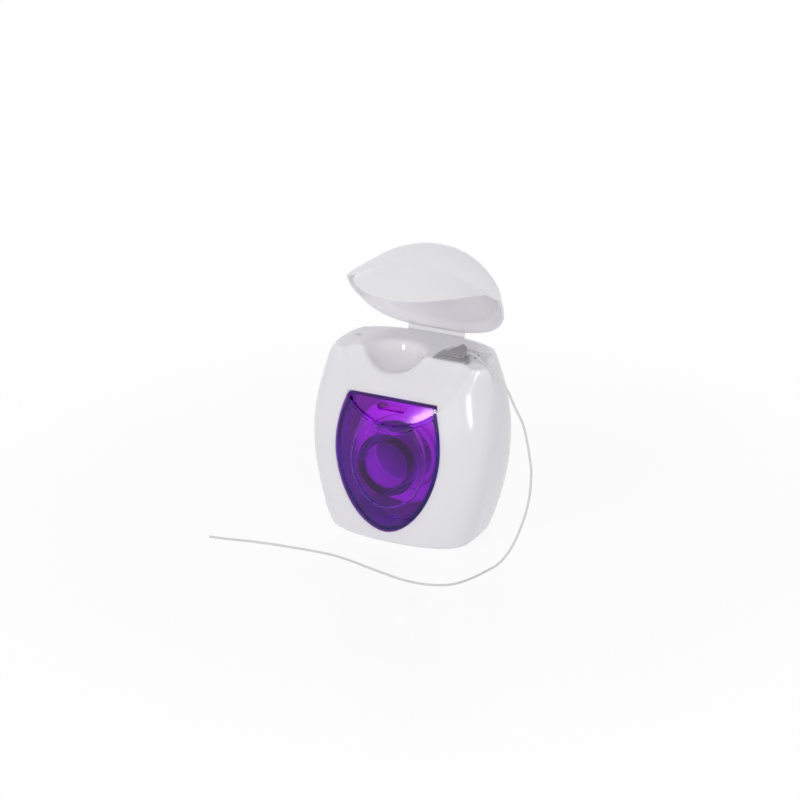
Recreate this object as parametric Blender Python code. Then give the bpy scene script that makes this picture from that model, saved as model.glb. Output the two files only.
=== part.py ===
"""Pocket floss dispenser: a moulded case with a flip lid, a clear insert, a steel cutter and a spool.

Metres, with +Z up and +Y to the back. The origin is the middle of the base, on the surface it stands on.
The case and its shut lid make one egg. A parting line splits the egg: seen from the front it is a
half ellipse under the rim, and behind it the neck is a surface that runs straight from side to side.
The lid stands open at LID_ANGLE, and the case, the lid and the insert are all cut from the same egg.
"""

import math

import bmesh
import bpy
import numpy as np
from mathutils import Matrix, Vector

# The egg: sizes of its level sections at the base, at the belly and at the rim, and the dome on top
CASE_HEIGHT = 0.050
BASE_HALF_WIDTH = 0.0201
BELLY_HALF_WIDTH = 0.0265
RIM_HALF_WIDTH = 0.0223
BASE_REAR_DEPTH = 0.0125
BELLY_REAR_DEPTH = 0.0162
RIM_REAR_DEPTH = 0.0172
BASE_FRONT_DEPTH = 0.0163
BELLY_FRONT_DEPTH = 0.0178
RIM_FRONT_DEPTH = 0.0121
RIM_SHIFT = 0.0035
DOME_HEIGHT = 0.0140
BASE_ROUND = 0.0012
BELLY_SHARE = 0.61
FRONT_BELLY_SHARE = 0.20
DOME_LEAN_SHARE = 0.22
REAR_POWER = 2.9
BASE_SPREAD = 2.0
RIM_SPREAD = 1.71
SPREAD_SHARE = 0.72
BASE_FRONT_POWER = 0.2
RIM_FRONT_POWER = 1.2
CROWN_FRONT_POWER = 0.5

# The parting line and the neck behind it
ARC_HALF_WIDTH = 0.0184
ARC_DROP = 0.0163
ARC_POWER = 1.88
LEDGE_DEPTH = 0.0008
PART_GAP = 0.0003

# Walls
CASE_WALL = 0.0015
CASE_FLOOR = 0.0016
DECK_WALL = 0.0022
LID_WALL = 0.0013
INSERT_WALL = 0.0014

# Deck: finger bowl, dimple, cutter pocket, exit slots and the groove for the floss in the rim
BOWL_CENTRE_X = -0.0040
BOWL_BEHIND_EDGE = 0.0001
BOWL_HALF_WIDTH = 0.0086
BOWL_HALF_DEPTH = 0.0083
BOWL_DEPTH = 0.0055
BOWL_RAISE = 0.0020
DIMPLE_X = -0.0176
DIMPLE_Y = 0.0024
DIMPLE_RADIUS = 0.00075
DIMPLE_DEPTH = 0.0010
POCKET_DEPTH = 0.0007
POCKET_BACK_Y = 0.0060
POCKET_RIGHT_X = 0.0202
EXIT_X = 0.01445
EXIT_WIDTH = 0.0013
EXIT_LENGTH = 0.0046
SIDE_SLOT_WIDTH = 0.0007
SIDE_SLOT_LENGTH = 0.0036
SIDE_SLOT_X = 0.0167
SIDE_SLOT_FRONT_Y = 0.0011
GROOVE_HALF_WIDTH = 0.00065

# Cutter: a stamped plate, its raised tongue and two legs
PLATE_LEFT_X = 0.00755
PLATE_WIDTH = 0.0091
PLATE_STRIP = 0.0021
PLATE_ARM_WIDTH = 0.0018
PLATE_ARM_LENGTH = 0.0034
PLATE_ROOT_WIDTH = 0.0018
PLATE_DEPTH = 0.0062
SHEET = 0.0004
TONGUE_RISE = 0.0020
TONGUE_FLARE = 0.0016
TONGUE_CLEARANCE = 0.0003
LEG_WIDTH = 0.0012
LEG_LENGTH = 0.0013

# Lid and its living hinge
LID_ANGLE = math.radians(60.9)
HINGE_BEHIND_RIM = 0.00025
HINGE_ABOVE_RIM = 0.00015
HINGE_WIDTH = 0.0165
HINGE_THICKNESS = 0.0004
HINGE_LEG = 0.0010
HINGE_INSET = 0.0002

# Window opening and insert
WINDOW_X = -0.0006
WINDOW_HALF_WIDTH = 0.0153
WINDOW_TOP_HALF_WIDTH = 0.0127
WINDOW_TOP_Z = 0.0399
WINDOW_WIDEST_Z = 0.0265
WINDOW_BOTTOM_Z = 0.0036
WINDOW_POWER = 1.8
TUB_BACK_Y = -0.0085
TUB_WALL = 0.0012
PAD_HALF_WIDTH = 0.01035
PAD_HALF_HEIGHT = 0.0125
PAD_CENTRE_Z = 0.0238
PAD_RISE = 0.0008
PAD_ROOT = 0.0005
PAD_POINTS = 40
CATCH_HALF_WIDTH = 0.0040
CATCH_HALF_HEIGHT = 0.00075
CATCH_BELOW_TOP = 0.0019
CATCH_DEPTH = 0.0007

# Spool on the insert's post
SPOOL_Z = 0.0228
POST_RADIUS = 0.0084
POST_BORE_RADIUS = 0.0061
POST_END_Y = 0.0118
CORE_WALL = 0.0014
CORE_WIDTH = 0.0190
WINDING_RADIUS = 0.0146
WINDING_WIDTH = 0.0170
SPOOL_CLEARANCE = 0.0003

# Floss
FLOSS_RADIUS = 0.0003
FLOSS_SPACING = 0.0021
LEAD_Y = 0.0009

# How finely things are drawn, and how far a cutter overruns what it cuts
OVERRUN = 0.003
QUARTER_POINTS = 16
INNER_QUARTER_POINTS = 10
BODY_ROWS = 15
DOME_ROWS = 11
ARC_POINTS = 25
NECK_POINTS = 12
SHARP_ANGLE = math.radians(28)

REACH = 2 * BELLY_HALF_WIDTH
FRONT_CLEAR_Y = -BELLY_FRONT_DEPTH - OVERRUN
SKY = CASE_HEIGHT + 2 * DOME_HEIGHT

# The free floss from the exit slot over the rim, in metres, with heights above the deck
RIM_ROUTE = (
    (0.01445, 0.0009, -0.0003),
    (0.01460, 0.0009, 0.0004),
    (0.01560, 0.0007, 0.0008),
    (0.01730, 0.0002, 0.0007),
    (0.01900, -0.0006, 0.0003),
    (0.02080, -0.0017, -0.0002),
    (0.02230, -0.0026, -0.0005),
    (0.02350, -0.0031, -0.0011),
    (0.02478, -0.0034, -0.0023),
)
GROOVE_FROM = 4

# Its route from there down to the floor and along it, with heights above the floor
FALL_ROUTE = (
    (0.02660, -0.0036, 0.0463),
    (0.02841, -0.0038, 0.0444),
    (0.03097, -0.0043, 0.0400),
    (0.03357, -0.0049, 0.0359),
    (0.03520, -0.0055, 0.0308),
    (0.03646, -0.0062, 0.0257),
    (0.03683, -0.0066, 0.0231),
    (0.03699, -0.0077, 0.0179),
    (0.03647, -0.0092, 0.0127),
    (0.03544, -0.0115, 0.0077),
    (0.03440, -0.0140, 0.0042),
    (0.03290, -0.0172, 0.0016),
    (0.03100, -0.0206, 0.0005),
    (0.02897, -0.0264, 0.0003),
    (0.02660, -0.0309, 0.0003),
    (0.02352, -0.0334, 0.0003),
    (0.01854, -0.0348, 0.0003),
    (0.01277, -0.0347, 0.0003),
    (0.00787, -0.0336, 0.0003),
    (0.00292, -0.0324, 0.0003),
    (-0.00221, -0.0310, 0.0003),
    (-0.00711, -0.0300, 0.0003),
    (-0.01176, -0.0296, 0.0003),
    (-0.01896, -0.0300, 0.0003),
    (-0.02606, -0.0307, 0.0003),
    (-0.03305, -0.0318, 0.0003),
    (-0.03978, -0.0333, 0.0003),
    (-0.04399, -0.0340, 0.0003),
)


def clear_scene():
    """Remove what the file opened with."""
    for old in list(bpy.data.objects):
        bpy.data.objects.remove(old, do_unlink=True)


def plastic(name, colour, roughness, alpha=1.0, metallic=0.0):
    """A plain moulded or drawn finish."""
    material = bpy.data.materials.new(name)
    material.use_nodes = True
    shader = material.node_tree.nodes["Principled BSDF"]
    shader.inputs["Base Color"].default_value = (*colour, 1.0)
    shader.inputs["Roughness"].default_value = roughness
    shader.inputs["Metallic"].default_value = metallic
    shader.inputs["Alpha"].default_value = alpha
    return material


def mesh_object(name, points, faces, material=None):
    """An object from points and faces, cut into flat triangles that face outwards."""
    mesh = bpy.data.meshes.new(name)
    mesh.from_pydata([tuple(map(float, point)) for point in points], [], faces)
    form = bmesh.new()
    form.from_mesh(mesh)
    bmesh.ops.triangulate(form, faces=form.faces)
    bmesh.ops.recalc_face_normals(form, faces=form.faces)
    form.to_mesh(mesh)
    form.free()
    made = bpy.data.objects.new(name, mesh)
    bpy.context.scene.collection.objects.link(made)
    if material:
        mesh.materials.append(material)
    return made


def prism(name, outline, axis, low, high):
    """An outline drawn on the two other axes, in X, Y, Z order, and run along one axis."""
    points = []
    for place in (low, high):
        for first, second in outline:
            point = [first, second]
            point.insert("XYZ".index(axis), place)
            points.append(point)
    count = len(outline)
    faces = [tuple(range(count)), tuple(range(2 * count - 1, count - 1, -1))]
    for here in range(count):
        ahead = (here + 1) % count
        faces.append((here, ahead, count + ahead, count + here))
    return mesh_object(name, points, faces)


def box(name, low, high):
    """A block between two corners."""
    outline = ((low[0], low[1]), (high[0], low[1]), (high[0], high[1]), (low[0], high[1]))
    return prism(name, outline, "Z", low[2], high[2])


def lofted(name, rings, pole=None):
    """Rings of equal count joined in order, closed by flat ends or by a pole at the last ring."""
    count = len(rings[0])
    points = [point for ring in rings for point in ring]
    faces = [tuple(range(count - 1, -1, -1))]
    for row in range(len(rings) - 1):
        start = row * count
        for here in range(count):
            ahead = (here + 1) % count
            faces.append((start + here, start + ahead, start + count + ahead, start + count + here))
    last = (len(rings) - 1) * count
    if pole is None:
        faces.append(tuple(range(last, last + count)))
    else:
        points.append(pole)
        faces += [(last + here, last + (here + 1) % count, len(points) - 1) for here in range(count)]
    return mesh_object(name, points, faces)


def turned(name, profile, material=None, steps=64):
    """A closed profile of (radius, y) pairs, turned about the spool's axis."""
    angles = np.linspace(0, 2 * math.pi, steps, endpoint=False) + math.pi / steps
    points = []
    for angle in angles:
        for radius, along in profile:
            points.append((radius * math.cos(angle), along, SPOOL_Z + radius * math.sin(angle)))
    count = len(profile)
    faces = []
    for step in range(steps):
        here, ahead = step * count, (step + 1) % steps * count
        for side in range(count):
            after = (side + 1) % count
            faces.append((here + side, here + after, ahead + after, ahead + side))
    return mesh_object(name, points, faces, material)


def carve(target, tool, operation="DIFFERENCE"):
    """Cut, join or keep the shared part of the target, and hide the tool."""
    change = target.modifiers.new(tool.name, "BOOLEAN")
    change.operation = operation
    change.solver = "EXACT"
    change.use_hole_tolerant = True
    change.object = tool
    tool.hide_render = True
    tool.display_type = "WIRE"


def settle(target, material=None):
    """Make the cuts part of the mesh, remove their tools and shade the round stretches smooth."""
    tools = [change.object for change in target.modifiers]
    bpy.context.view_layer.update()
    graph = bpy.context.evaluated_depsgraph_get()
    mesh = bpy.data.meshes.new_from_object(target.evaluated_get(graph))
    target.modifiers.clear()
    target.data = mesh
    mesh.materials.clear()
    if material:
        mesh.materials.append(material)
    mesh.shade_smooth()
    mesh.set_sharp_from_angle(angle=SHARP_ANGLE)
    for tool in tools:
        bpy.data.objects.remove(tool, do_unlink=True)


def bowed(share, low, middle, high, peak_share):
    """A size that swells from its low end to a middle value and falls to its high end, on two parabolas."""
    if share < peak_share:
        return middle - (middle - low) * ((peak_share - share) / peak_share) ** 2
    return middle - (middle - high) * ((share - peak_share) / (1 - peak_share)) ** 2


def egg_section(height, inset):
    """Half width, rear depth, front depth, centre and powers of the egg's level section."""
    share = min(height / CASE_HEIGHT, 1)
    centre = -RIM_SHIFT * share**2
    half_width = bowed(share, BASE_HALF_WIDTH, BELLY_HALF_WIDTH, RIM_HALF_WIDTH, BELLY_SHARE)
    rear = bowed(share, BASE_REAR_DEPTH, BELLY_REAR_DEPTH, RIM_REAR_DEPTH, BELLY_SHARE)
    front = centre + bowed(
        share, BASE_FRONT_DEPTH, BELLY_FRONT_DEPTH, RIM_FRONT_DEPTH, FRONT_BELLY_SHARE
    )
    spread = BASE_SPREAD + (RIM_SPREAD - BASE_SPREAD) * min(share / SPREAD_SHARE, 1)
    power = BASE_FRONT_POWER + (RIM_FRONT_POWER - BASE_FRONT_POWER) * share**6
    half_width, rear, front, rear_power = half_width - inset, rear - inset, front - inset, REAR_POWER
    climb = max(height - CASE_HEIGHT, 0)
    rise = min(climb / (DOME_HEIGHT - inset), 1)
    if rise > 0:
        half_width *= math.sqrt(1 - rise**1.22)
        rear *= (1 - rise**2.39) ** 0.42
        front = (front - DOME_LEAN_SHARE * climb) * (1 - rise**3) ** 0.45
        spread += (2 - spread) * min(1.5 * rise, 1)
        power = CROWN_FRONT_POWER + (power - CROWN_FRONT_POWER) * (1 - rise) ** 1.5
        rear_power -= 0.7 * rise
    return half_width, rear, front, centre, rear_power, spread, power


def egg_ring(height, inset, quarter):
    """The egg's section as points: across the front from left to right, then back across the rear."""
    half_width, rear, front, centre, rear_power, spread, power = egg_section(height, inset)
    turn = 0.5 * math.pi * (1 - (1 - np.linspace(0, 1, quarter + 1)) ** 1.5)
    sine, cosine = np.sin(turn), np.maximum(np.cos(turn), 0)
    cosine[-1] = 0
    front_x, front_y = half_width * sine ** (2 / spread), centre - front * cosine ** (2 * power)
    turn = 0.5 * math.pi * np.linspace(0, 1, quarter + 1)
    sine, cosine = np.sin(turn), np.maximum(np.cos(turn), 0)
    cosine[-1] = 0
    rear_x, rear_y = (
        half_width * sine ** (2 / rear_power),
        centre + rear * cosine ** (2 / rear_power),
    )
    across = np.concatenate([-front_x[::-1], front_x[1:], rear_x[-2::-1], -rear_x[1:-1]])
    deep = np.concatenate([front_y[::-1], front_y[1:], rear_y[-2::-1], rear_y[1:-1]])
    return [(x, y, height) for x, y in zip(across, deep)]


def front_y(x, height):
    """Where the egg's front surface lies."""
    half_width, _, front, centre, _, spread, power = egg_section(height, 0)
    return centre - front * max(1 - (abs(x) / half_width) ** spread, 0) ** power


def dome_heights(inset):
    """Row heights above the rim, closer together towards the crown, short of the pole."""
    steps = np.linspace(0, 1, DOME_ROWS + 1)[1:-1]
    return CASE_HEIGHT + (DOME_HEIGHT - inset) * np.sin(0.5 * math.pi * steps)


def case_egg(name, inset, low, high, quarter):
    """The egg between two levels with flat ends."""
    heights = np.linspace(low, high, BODY_ROWS)
    return lofted(name, [egg_ring(height, inset, quarter) for height in heights])


def lid_egg(name, inset, quarter):
    """The egg from under the parting line to its pole."""
    low = CASE_HEIGHT - ARC_DROP - OVERRUN - inset
    heights = np.concatenate([np.linspace(low, CASE_HEIGHT, BODY_ROWS // 2), dome_heights(inset)])
    pole = (0, -RIM_SHIFT, CASE_HEIGHT + DOME_HEIGHT - inset)
    return lofted(name, [egg_ring(height, inset, quarter) for height in heights], pole)


def arc_half_width(height):
    """Half width of the parting line's arc at a height."""
    drop = min((CASE_HEIGHT - height) / ARC_DROP, 1)
    return ARC_HALF_WIDTH * (1 - drop**ARC_POWER) ** (1 / ARC_POWER)


def arc_outline(clearance):
    """The lid's front view, open at the top: the arc with level shoulders out to both sides."""
    turn = np.linspace(0, math.pi, ARC_POINTS)
    cosine, sine = np.cos(turn), np.sin(turn)
    cosine[np.abs(cosine) < 1e-9] = 0
    across = (ARC_HALF_WIDTH - clearance) * np.sign(cosine) * np.abs(cosine) ** (2 / ARC_POWER)
    level = CASE_HEIGHT - (ARC_DROP - clearance) * np.abs(sine) ** (2 / ARC_POWER)
    level[0] = level[-1] = CASE_HEIGHT + clearance
    shoulder = CASE_HEIGHT + clearance
    return [(REACH, SKY), (REACH, shoulder), *zip(across, level), (-REACH, shoulder), (-REACH, SKY)]


def neck_profile(offset):
    """The neck's side view from below the arc up to the deck's edge, moved out by the offset."""
    sink = 1 - np.cos(0.5 * math.pi * np.linspace(0, 1, NECK_POINTS))
    heights = CASE_HEIGHT - ARC_DROP * (1 - sink)
    deep = np.array([front_y(arc_half_width(height), height) for height in heights]) + LEDGE_DEPTH
    path = np.stack([deep, heights], -1)
    lead = (path[0] - path[1]) / np.linalg.norm(path[0] - path[1])
    path = np.vstack([path[0] + lead * 2 * OVERRUN, path])
    along = np.gradient(path, axis=0)
    along /= np.linalg.norm(along, axis=1, keepdims=True)
    path = path + offset * np.stack([-along[:, 1], along[:, 0]], -1)
    top = CASE_HEIGHT + offset
    kept = [tuple(point) for point in path if point[1] < top - LEDGE_DEPTH / 4]
    (y0, z0), (y1, z1) = path[-2], path[-1]
    kept.append((y1 + (top - z1) * (y1 - y0) / (z1 - z0), top))
    return kept


def deck_edge_y():
    """Where the neck meets the deck."""
    return neck_profile(0)[-1][0]


def lid_space(name, clearance):
    """All that lies above the parting line and in front of the neck, moved out by the clearance."""
    space = prism(name, arc_outline(clearance), "Y", -REACH, REACH)
    profile = neck_profile(clearance)
    outline = [(-REACH, profile[0][1]), *profile, (REACH, profile[-1][1]), (REACH, SKY), (-REACH, SKY)]
    carve(space, prism(name + "_neck", outline, "X", -2 * REACH, 2 * REACH), "INTERSECT")
    settle(space)
    return space


def below_neck(name, inset):
    """All that lies behind and under the neck, moved in by the inset."""
    profile = neck_profile(-inset)
    outline = [
        (-REACH, -REACH),
        (-REACH, profile[0][1]),
        *profile,
        (REACH, profile[-1][1]),
        (REACH, -REACH),
    ]
    return prism(name, outline, "X", -2 * REACH, 2 * REACH)


def body_form(name):
    """The solid that the case and the insert share: the egg with its rounded foot, less the lid's space."""
    turn = np.linspace(0, 0.5 * math.pi, 4)
    foot = [(BASE_ROUND * (1 - math.cos(a)), BASE_ROUND * (1 - math.sin(a))) for a in turn]
    rings = [egg_ring(level, inset, QUARTER_POINTS) for level, inset in foot]
    heights = np.linspace(BASE_ROUND, CASE_HEIGHT + PART_GAP, BODY_ROWS)[1:]
    rings += [egg_ring(height, 0, QUARTER_POINTS) for height in heights]
    form = lofted(name, rings)
    carve(form, lid_space(name + "_lid_space", 0))
    settle(form)
    return form


def bowl(name, wall):
    """The finger bowl's ellipsoid, in the deck's front edge."""
    mesh = bpy.data.meshes.new(name)
    form = bmesh.new()
    bmesh.ops.create_uvsphere(form, u_segments=32, v_segments=16, radius=1)
    size = Vector((BOWL_HALF_WIDTH + wall, BOWL_HALF_DEPTH + wall, BOWL_DEPTH + BOWL_RAISE + wall))
    place = Vector((BOWL_CENTRE_X, deck_edge_y() - BOWL_BEHIND_EDGE, CASE_HEIGHT + BOWL_RAISE))
    bmesh.ops.transform(form, matrix=Matrix.LocRotScale(place, None, size), verts=form.verts)
    form.to_mesh(mesh)
    form.free()
    made = bpy.data.objects.new(name, mesh)
    bpy.context.scene.collection.objects.link(made)
    return made


def case_hollow():
    """The room for the spool inside the case."""
    top = CASE_HEIGHT - DECK_WALL
    hollow = case_egg("case_hollow", CASE_WALL, CASE_FLOOR, top, INNER_QUARTER_POINTS)
    carve(hollow, below_neck("hollow_neck", CASE_WALL), "INTERSECT")
    carve(hollow, bowl("bowl_wall", CASE_WALL))
    settle(hollow)
    return hollow


def window_outline(inset):
    """The window from the front: a straight top, sides that widen downwards and a round bottom."""
    half_width, top = WINDOW_HALF_WIDTH - inset, WINDOW_TOP_Z - inset
    turn = np.linspace(0, math.pi, ARC_POINTS + 8)
    cosine = np.cos(turn)
    cosine[np.abs(cosine) < 1e-9] = 0
    across = half_width * np.sign(cosine) * np.abs(cosine) ** (2 / WINDOW_POWER)
    deep = (WINDOW_WIDEST_Z - WINDOW_BOTTOM_Z - inset) * np.abs(np.sin(turn)) ** (2 / WINDOW_POWER)
    lower = list(zip(across, WINDOW_WIDEST_Z - deep))
    narrowing = WINDOW_HALF_WIDTH - WINDOW_TOP_HALF_WIDTH
    climb = np.linspace(0, 1, 6)[1:]
    side = [
        (half_width - narrowing * share**2, WINDOW_WIDEST_Z + share * (top - WINDOW_WIDEST_Z))
        for share in climb
    ]
    outline = [*side[::-1], *lower, *[(-x, z) for x, z in side]]
    return [(WINDOW_X + x, z) for x, z in outline]


def plate_front_y():
    return deck_edge_y() + PART_GAP


def leg_places():
    """Front left corners of the cutter's two legs."""
    left = (PLATE_LEFT_X + SHEET, plate_front_y() + PLATE_STRIP + LEG_WIDTH)
    right = (PLATE_LEFT_X + PLATE_WIDTH - PLATE_ARM_WIDTH, plate_front_y() + SHEET)
    return left, right


def cut_deck(case):
    """The bowl, the dimple, the cutter's pocket and the slots."""
    carve(case, bowl("finger_bowl", 0))
    rim_z, floor_z = CASE_HEIGHT, CASE_HEIGHT - POCKET_DEPTH
    turn = np.linspace(0, 2 * math.pi, 16, endpoint=False)
    ring = [(DIMPLE_X + DIMPLE_RADIUS * math.cos(a), DIMPLE_Y + DIMPLE_RADIUS * math.sin(a)) for a in turn]
    carve(case, prism("dimple", ring, "Z", rim_z - DIMPLE_DEPTH, rim_z + OVERRUN))
    left, right = PLATE_LEFT_X - PART_GAP, PLATE_LEFT_X + PLATE_WIDTH + PART_GAP
    front, middle = plate_front_y() - OVERRUN, plate_front_y() + PLATE_DEPTH + PART_GAP
    step = plate_front_y() + PLATE_STRIP / 2
    outline = (
        (left, front),
        (right, front),
        (right, step),
        (POCKET_RIGHT_X - LEG_WIDTH, step),
        (POCKET_RIGHT_X, step + LEG_WIDTH),
        (POCKET_RIGHT_X, POCKET_BACK_Y - LEG_WIDTH),
        (POCKET_RIGHT_X - LEG_WIDTH, POCKET_BACK_Y),
        (left + LEG_WIDTH, POCKET_BACK_Y),
        (left, middle),
    )
    carve(case, prism("cutter_pocket", outline, "Z", floor_z, rim_z + OVERRUN))
    exit_front = plate_front_y() + PLATE_STRIP + TONGUE_CLEARANCE
    slots = [
        ("exit_slot", EXIT_X - EXIT_WIDTH / 2, exit_front, EXIT_WIDTH, EXIT_LENGTH),
        ("side_slot", SIDE_SLOT_X - SIDE_SLOT_WIDTH / 2, SIDE_SLOT_FRONT_Y, SIDE_SLOT_WIDTH, SIDE_SLOT_LENGTH),
    ]
    for name, x, y, width, length in slots:
        low = (x, y, rim_z - DECK_WALL - OVERRUN)
        carve(case, box(name, low, (x + width, y + length, rim_z + OVERRUN)))
    for number, (x, y) in enumerate(leg_places()):
        low = (x - PART_GAP, y - PART_GAP, rim_z - DECK_WALL - OVERRUN)
        high = (x + SHEET + PART_GAP, y + LEG_WIDTH + PART_GAP, rim_z + OVERRUN)
        carve(case, box(f"leg_hole_{number}", low, high))


def smooth_route(route, spacing):
    """Points at an even spacing on a smooth curve through the route's points."""
    knots = np.array(route)
    padded = np.vstack([2 * knots[0] - knots[1], knots, 2 * knots[-1] - knots[-2]])
    fine = []
    for here in range(1, len(padded) - 2):
        before, start, end, after = padded[here - 1 : here + 3]
        for share in np.linspace(0, 1, 24, endpoint=False):
            curve = (
                2 * start
                + (end - before) * share
                + (2 * before - 5 * start + 4 * end - after) * share**2
                + (3 * start - before - 3 * end + after) * share**3
            )
            fine.append(curve / 2)
    fine = np.array([*fine, knots[-1]])
    travelled = np.concatenate([[0], np.cumsum(np.linalg.norm(np.diff(fine, axis=0), axis=1))])
    count = max(int(round(travelled[-1] / spacing)), 2)
    marks = np.linspace(0, travelled[-1], count + 1)
    return np.stack([np.interp(marks, travelled, fine[:, axis]) for axis in range(3)], -1)


def rim_route():
    """The strand's places over the deck and the rim, at their real heights."""
    return [(x, y, CASE_HEIGHT + above) for x, y, above in RIM_ROUTE]


def groove(name):
    """The groove that lets the floss out over the right end of the rim, open at the top."""
    path = smooth_route(rim_route()[GROOVE_FROM:], FLOSS_SPACING / 2)
    along = np.gradient(path, axis=0)
    side = np.stack([-along[:, 1], along[:, 0]], -1)
    side *= GROOVE_HALF_WIDTH / np.linalg.norm(side, axis=1, keepdims=True)
    rings = []
    for (x, y, z), (across_x, across_y) in zip(path, side):
        low = z - GROOVE_HALF_WIDTH
        high = CASE_HEIGHT + OVERRUN
        rings.append(
            [
                (x + across_x, y + across_y, low),
                (x - across_x, y - across_y, low),
                (x - across_x, y - across_y, high),
                (x + across_x, y + across_y, high),
            ]
        )
    return lofted(name, rings)


def hinge_outer_y():
    """The outer face of the living hinge, a little inside the rear of the rim."""
    return RIM_REAR_DEPTH - RIM_SHIFT - HINGE_INSET


def hinge_axis():
    return Vector((0, RIM_REAR_DEPTH - RIM_SHIFT + HINGE_BEHIND_RIM, CASE_HEIGHT + HINGE_ABOVE_RIM))


def hinge_notch(name, low, high):
    """The space that the hinge's leg takes out of a rear wall."""
    half_width = HINGE_WIDTH / 2 + PART_GAP
    front = hinge_outer_y() - HINGE_THICKNESS - PART_GAP
    return box(name, (-half_width, front, low), (half_width, REACH, high))


def make_case(material):
    """The white case: the egg's lower part, hollow, open at the window."""
    case = body_form("case_body")
    carve(case, case_hollow())
    carve(case, prism("window_opening", window_outline(0), "Y", FRONT_CLEAR_Y, TUB_BACK_Y))
    settle(case)
    cut_deck(case)
    carve(case, groove("floss_groove"))
    foot = CASE_HEIGHT - HINGE_LEG - PART_GAP
    carve(case, hinge_notch("case_hinge_notch", foot, SKY))
    settle(case, material)
    return case


def pad_form():
    """The raised pad on the insert's face."""
    half_step = math.pi / PAD_POINTS
    turn = np.linspace(0, 2 * math.pi, PAD_POINTS, endpoint=False) + half_step
    outline = [(PAD_HALF_WIDTH * math.cos(a), PAD_CENTRE_Z + PAD_HALF_HEIGHT * math.sin(a)) for a in turn]
    pad = prism("insert_pad", outline, "Y", FRONT_CLEAR_Y, 0)
    carve(pad, case_egg("pad_face", -PAD_RISE, 0, CASE_HEIGHT, QUARTER_POINTS), "INTERSECT")
    carve(pad, case_egg("pad_root", PAD_ROOT, 0, CASE_HEIGHT, QUARTER_POINTS))
    carve(pad, lid_space("pad_lid_space", PART_GAP))
    settle(pad)
    return pad


def inner_form(name, inset):
    """What lies inside the insert's wall."""
    form = case_egg(name, inset, CASE_FLOOR / 2, CASE_HEIGHT - inset, QUARTER_POINTS)
    carve(form, below_neck(name + "_neck", inset), "INTERSECT")
    settle(form)
    return form


def post_form():
    """The hollow post that carries the spool, run forward to the insert's wall."""
    profile = (
        (POST_BORE_RADIUS, -REACH),
        (POST_RADIUS, -REACH),
        (POST_RADIUS, POST_END_Y),
        (POST_BORE_RADIUS, POST_END_Y),
    )
    post = turned("insert_post", profile, steps=48)
    carve(post, inner_form("post_end", INSERT_WALL / 2), "INTERSECT")
    settle(post)
    return post


def make_insert(material):
    """The clear insert: a tub with the egg's face, a raised pad, a catch slot and the spool's post."""
    insert = body_form("window_insert")
    outline = window_outline(PART_GAP)
    carve(insert, prism("insert_edge", outline, "Y", FRONT_CLEAR_Y, TUB_BACK_Y - PART_GAP), "INTERSECT")
    inside = inner_form("insert_inside", INSERT_WALL)
    edge = window_outline(PART_GAP + TUB_WALL)
    carve(inside, prism("insert_inner_edge", edge, "Y", -REACH, REACH), "INTERSECT")
    settle(inside)
    carve(insert, inside)
    settle(insert)
    carve(insert, post_form(), "UNION")
    settle(insert)
    carve(insert, pad_form(), "UNION")
    settle(insert)
    middle = WINDOW_TOP_Z - CATCH_BELOW_TOP
    half_round = np.linspace(-0.5 * math.pi, 0.5 * math.pi, 7)
    straight = CATCH_HALF_WIDTH - CATCH_HALF_HEIGHT
    right = [
        (straight + CATCH_HALF_HEIGHT * math.cos(a), middle + CATCH_HALF_HEIGHT * math.sin(a))
        for a in half_round
    ]
    left = [(-x, 2 * middle - z) for x, z in right]
    depth = np.interp(middle, *np.array(neck_profile(0)).T[::-1]) + CATCH_DEPTH
    carve(insert, prism("catch_slot", [*right, *left], "Y", FRONT_CLEAR_Y, depth))
    settle(insert, material)
    return insert


def make_lid(material):
    """The white lid, modelled shut and then opened about the hinge."""
    lid = lid_egg("lid", 0, QUARTER_POINTS)
    carve(lid, lid_egg("lid_inside", LID_WALL, INNER_QUARTER_POINTS + 2))
    carve(lid, lid_space("lid_keep", PART_GAP), "INTERSECT")
    top = CASE_HEIGHT + PART_GAP + HINGE_LEG + PART_GAP
    carve(lid, hinge_notch("lid_hinge_notch", CASE_HEIGHT - OVERRUN, top))
    settle(lid, material)
    axis = hinge_axis()
    lid.data.transform(Matrix.Translation(-axis))
    lid.location = axis
    lid.rotation_euler.x = -LID_ANGLE
    return lid


def make_hinge(material):
    """The living hinge: a thin strip with one leg in the case and one in the open lid."""
    outer, axis = hinge_outer_y(), hinge_axis()
    inner = outer - HINGE_THICKNESS
    foot, knee = CASE_HEIGHT - HINGE_LEG, CASE_HEIGHT - PART_GAP / 4
    tip = CASE_HEIGHT + PART_GAP + HINGE_LEG
    bend = CASE_HEIGHT + PART_GAP
    opened = []
    for y, z in ((outer, bend), (outer, tip), (inner, tip), (inner, bend)):
        back, up = y - axis.y, z - axis.z
        opened.append(
            (
                axis.y + back * math.cos(LID_ANGLE) + up * math.sin(LID_ANGLE),
                axis.z - back * math.sin(LID_ANGLE) + up * math.cos(LID_ANGLE),
            )
        )
    outline = [(inner, knee), (inner, foot), (outer, foot), (outer, knee), *opened]
    hinge = prism("living_hinge", outline, "X", -HINGE_WIDTH / 2, HINGE_WIDTH / 2)
    hinge.data.materials.append(material)
    return hinge


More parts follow.
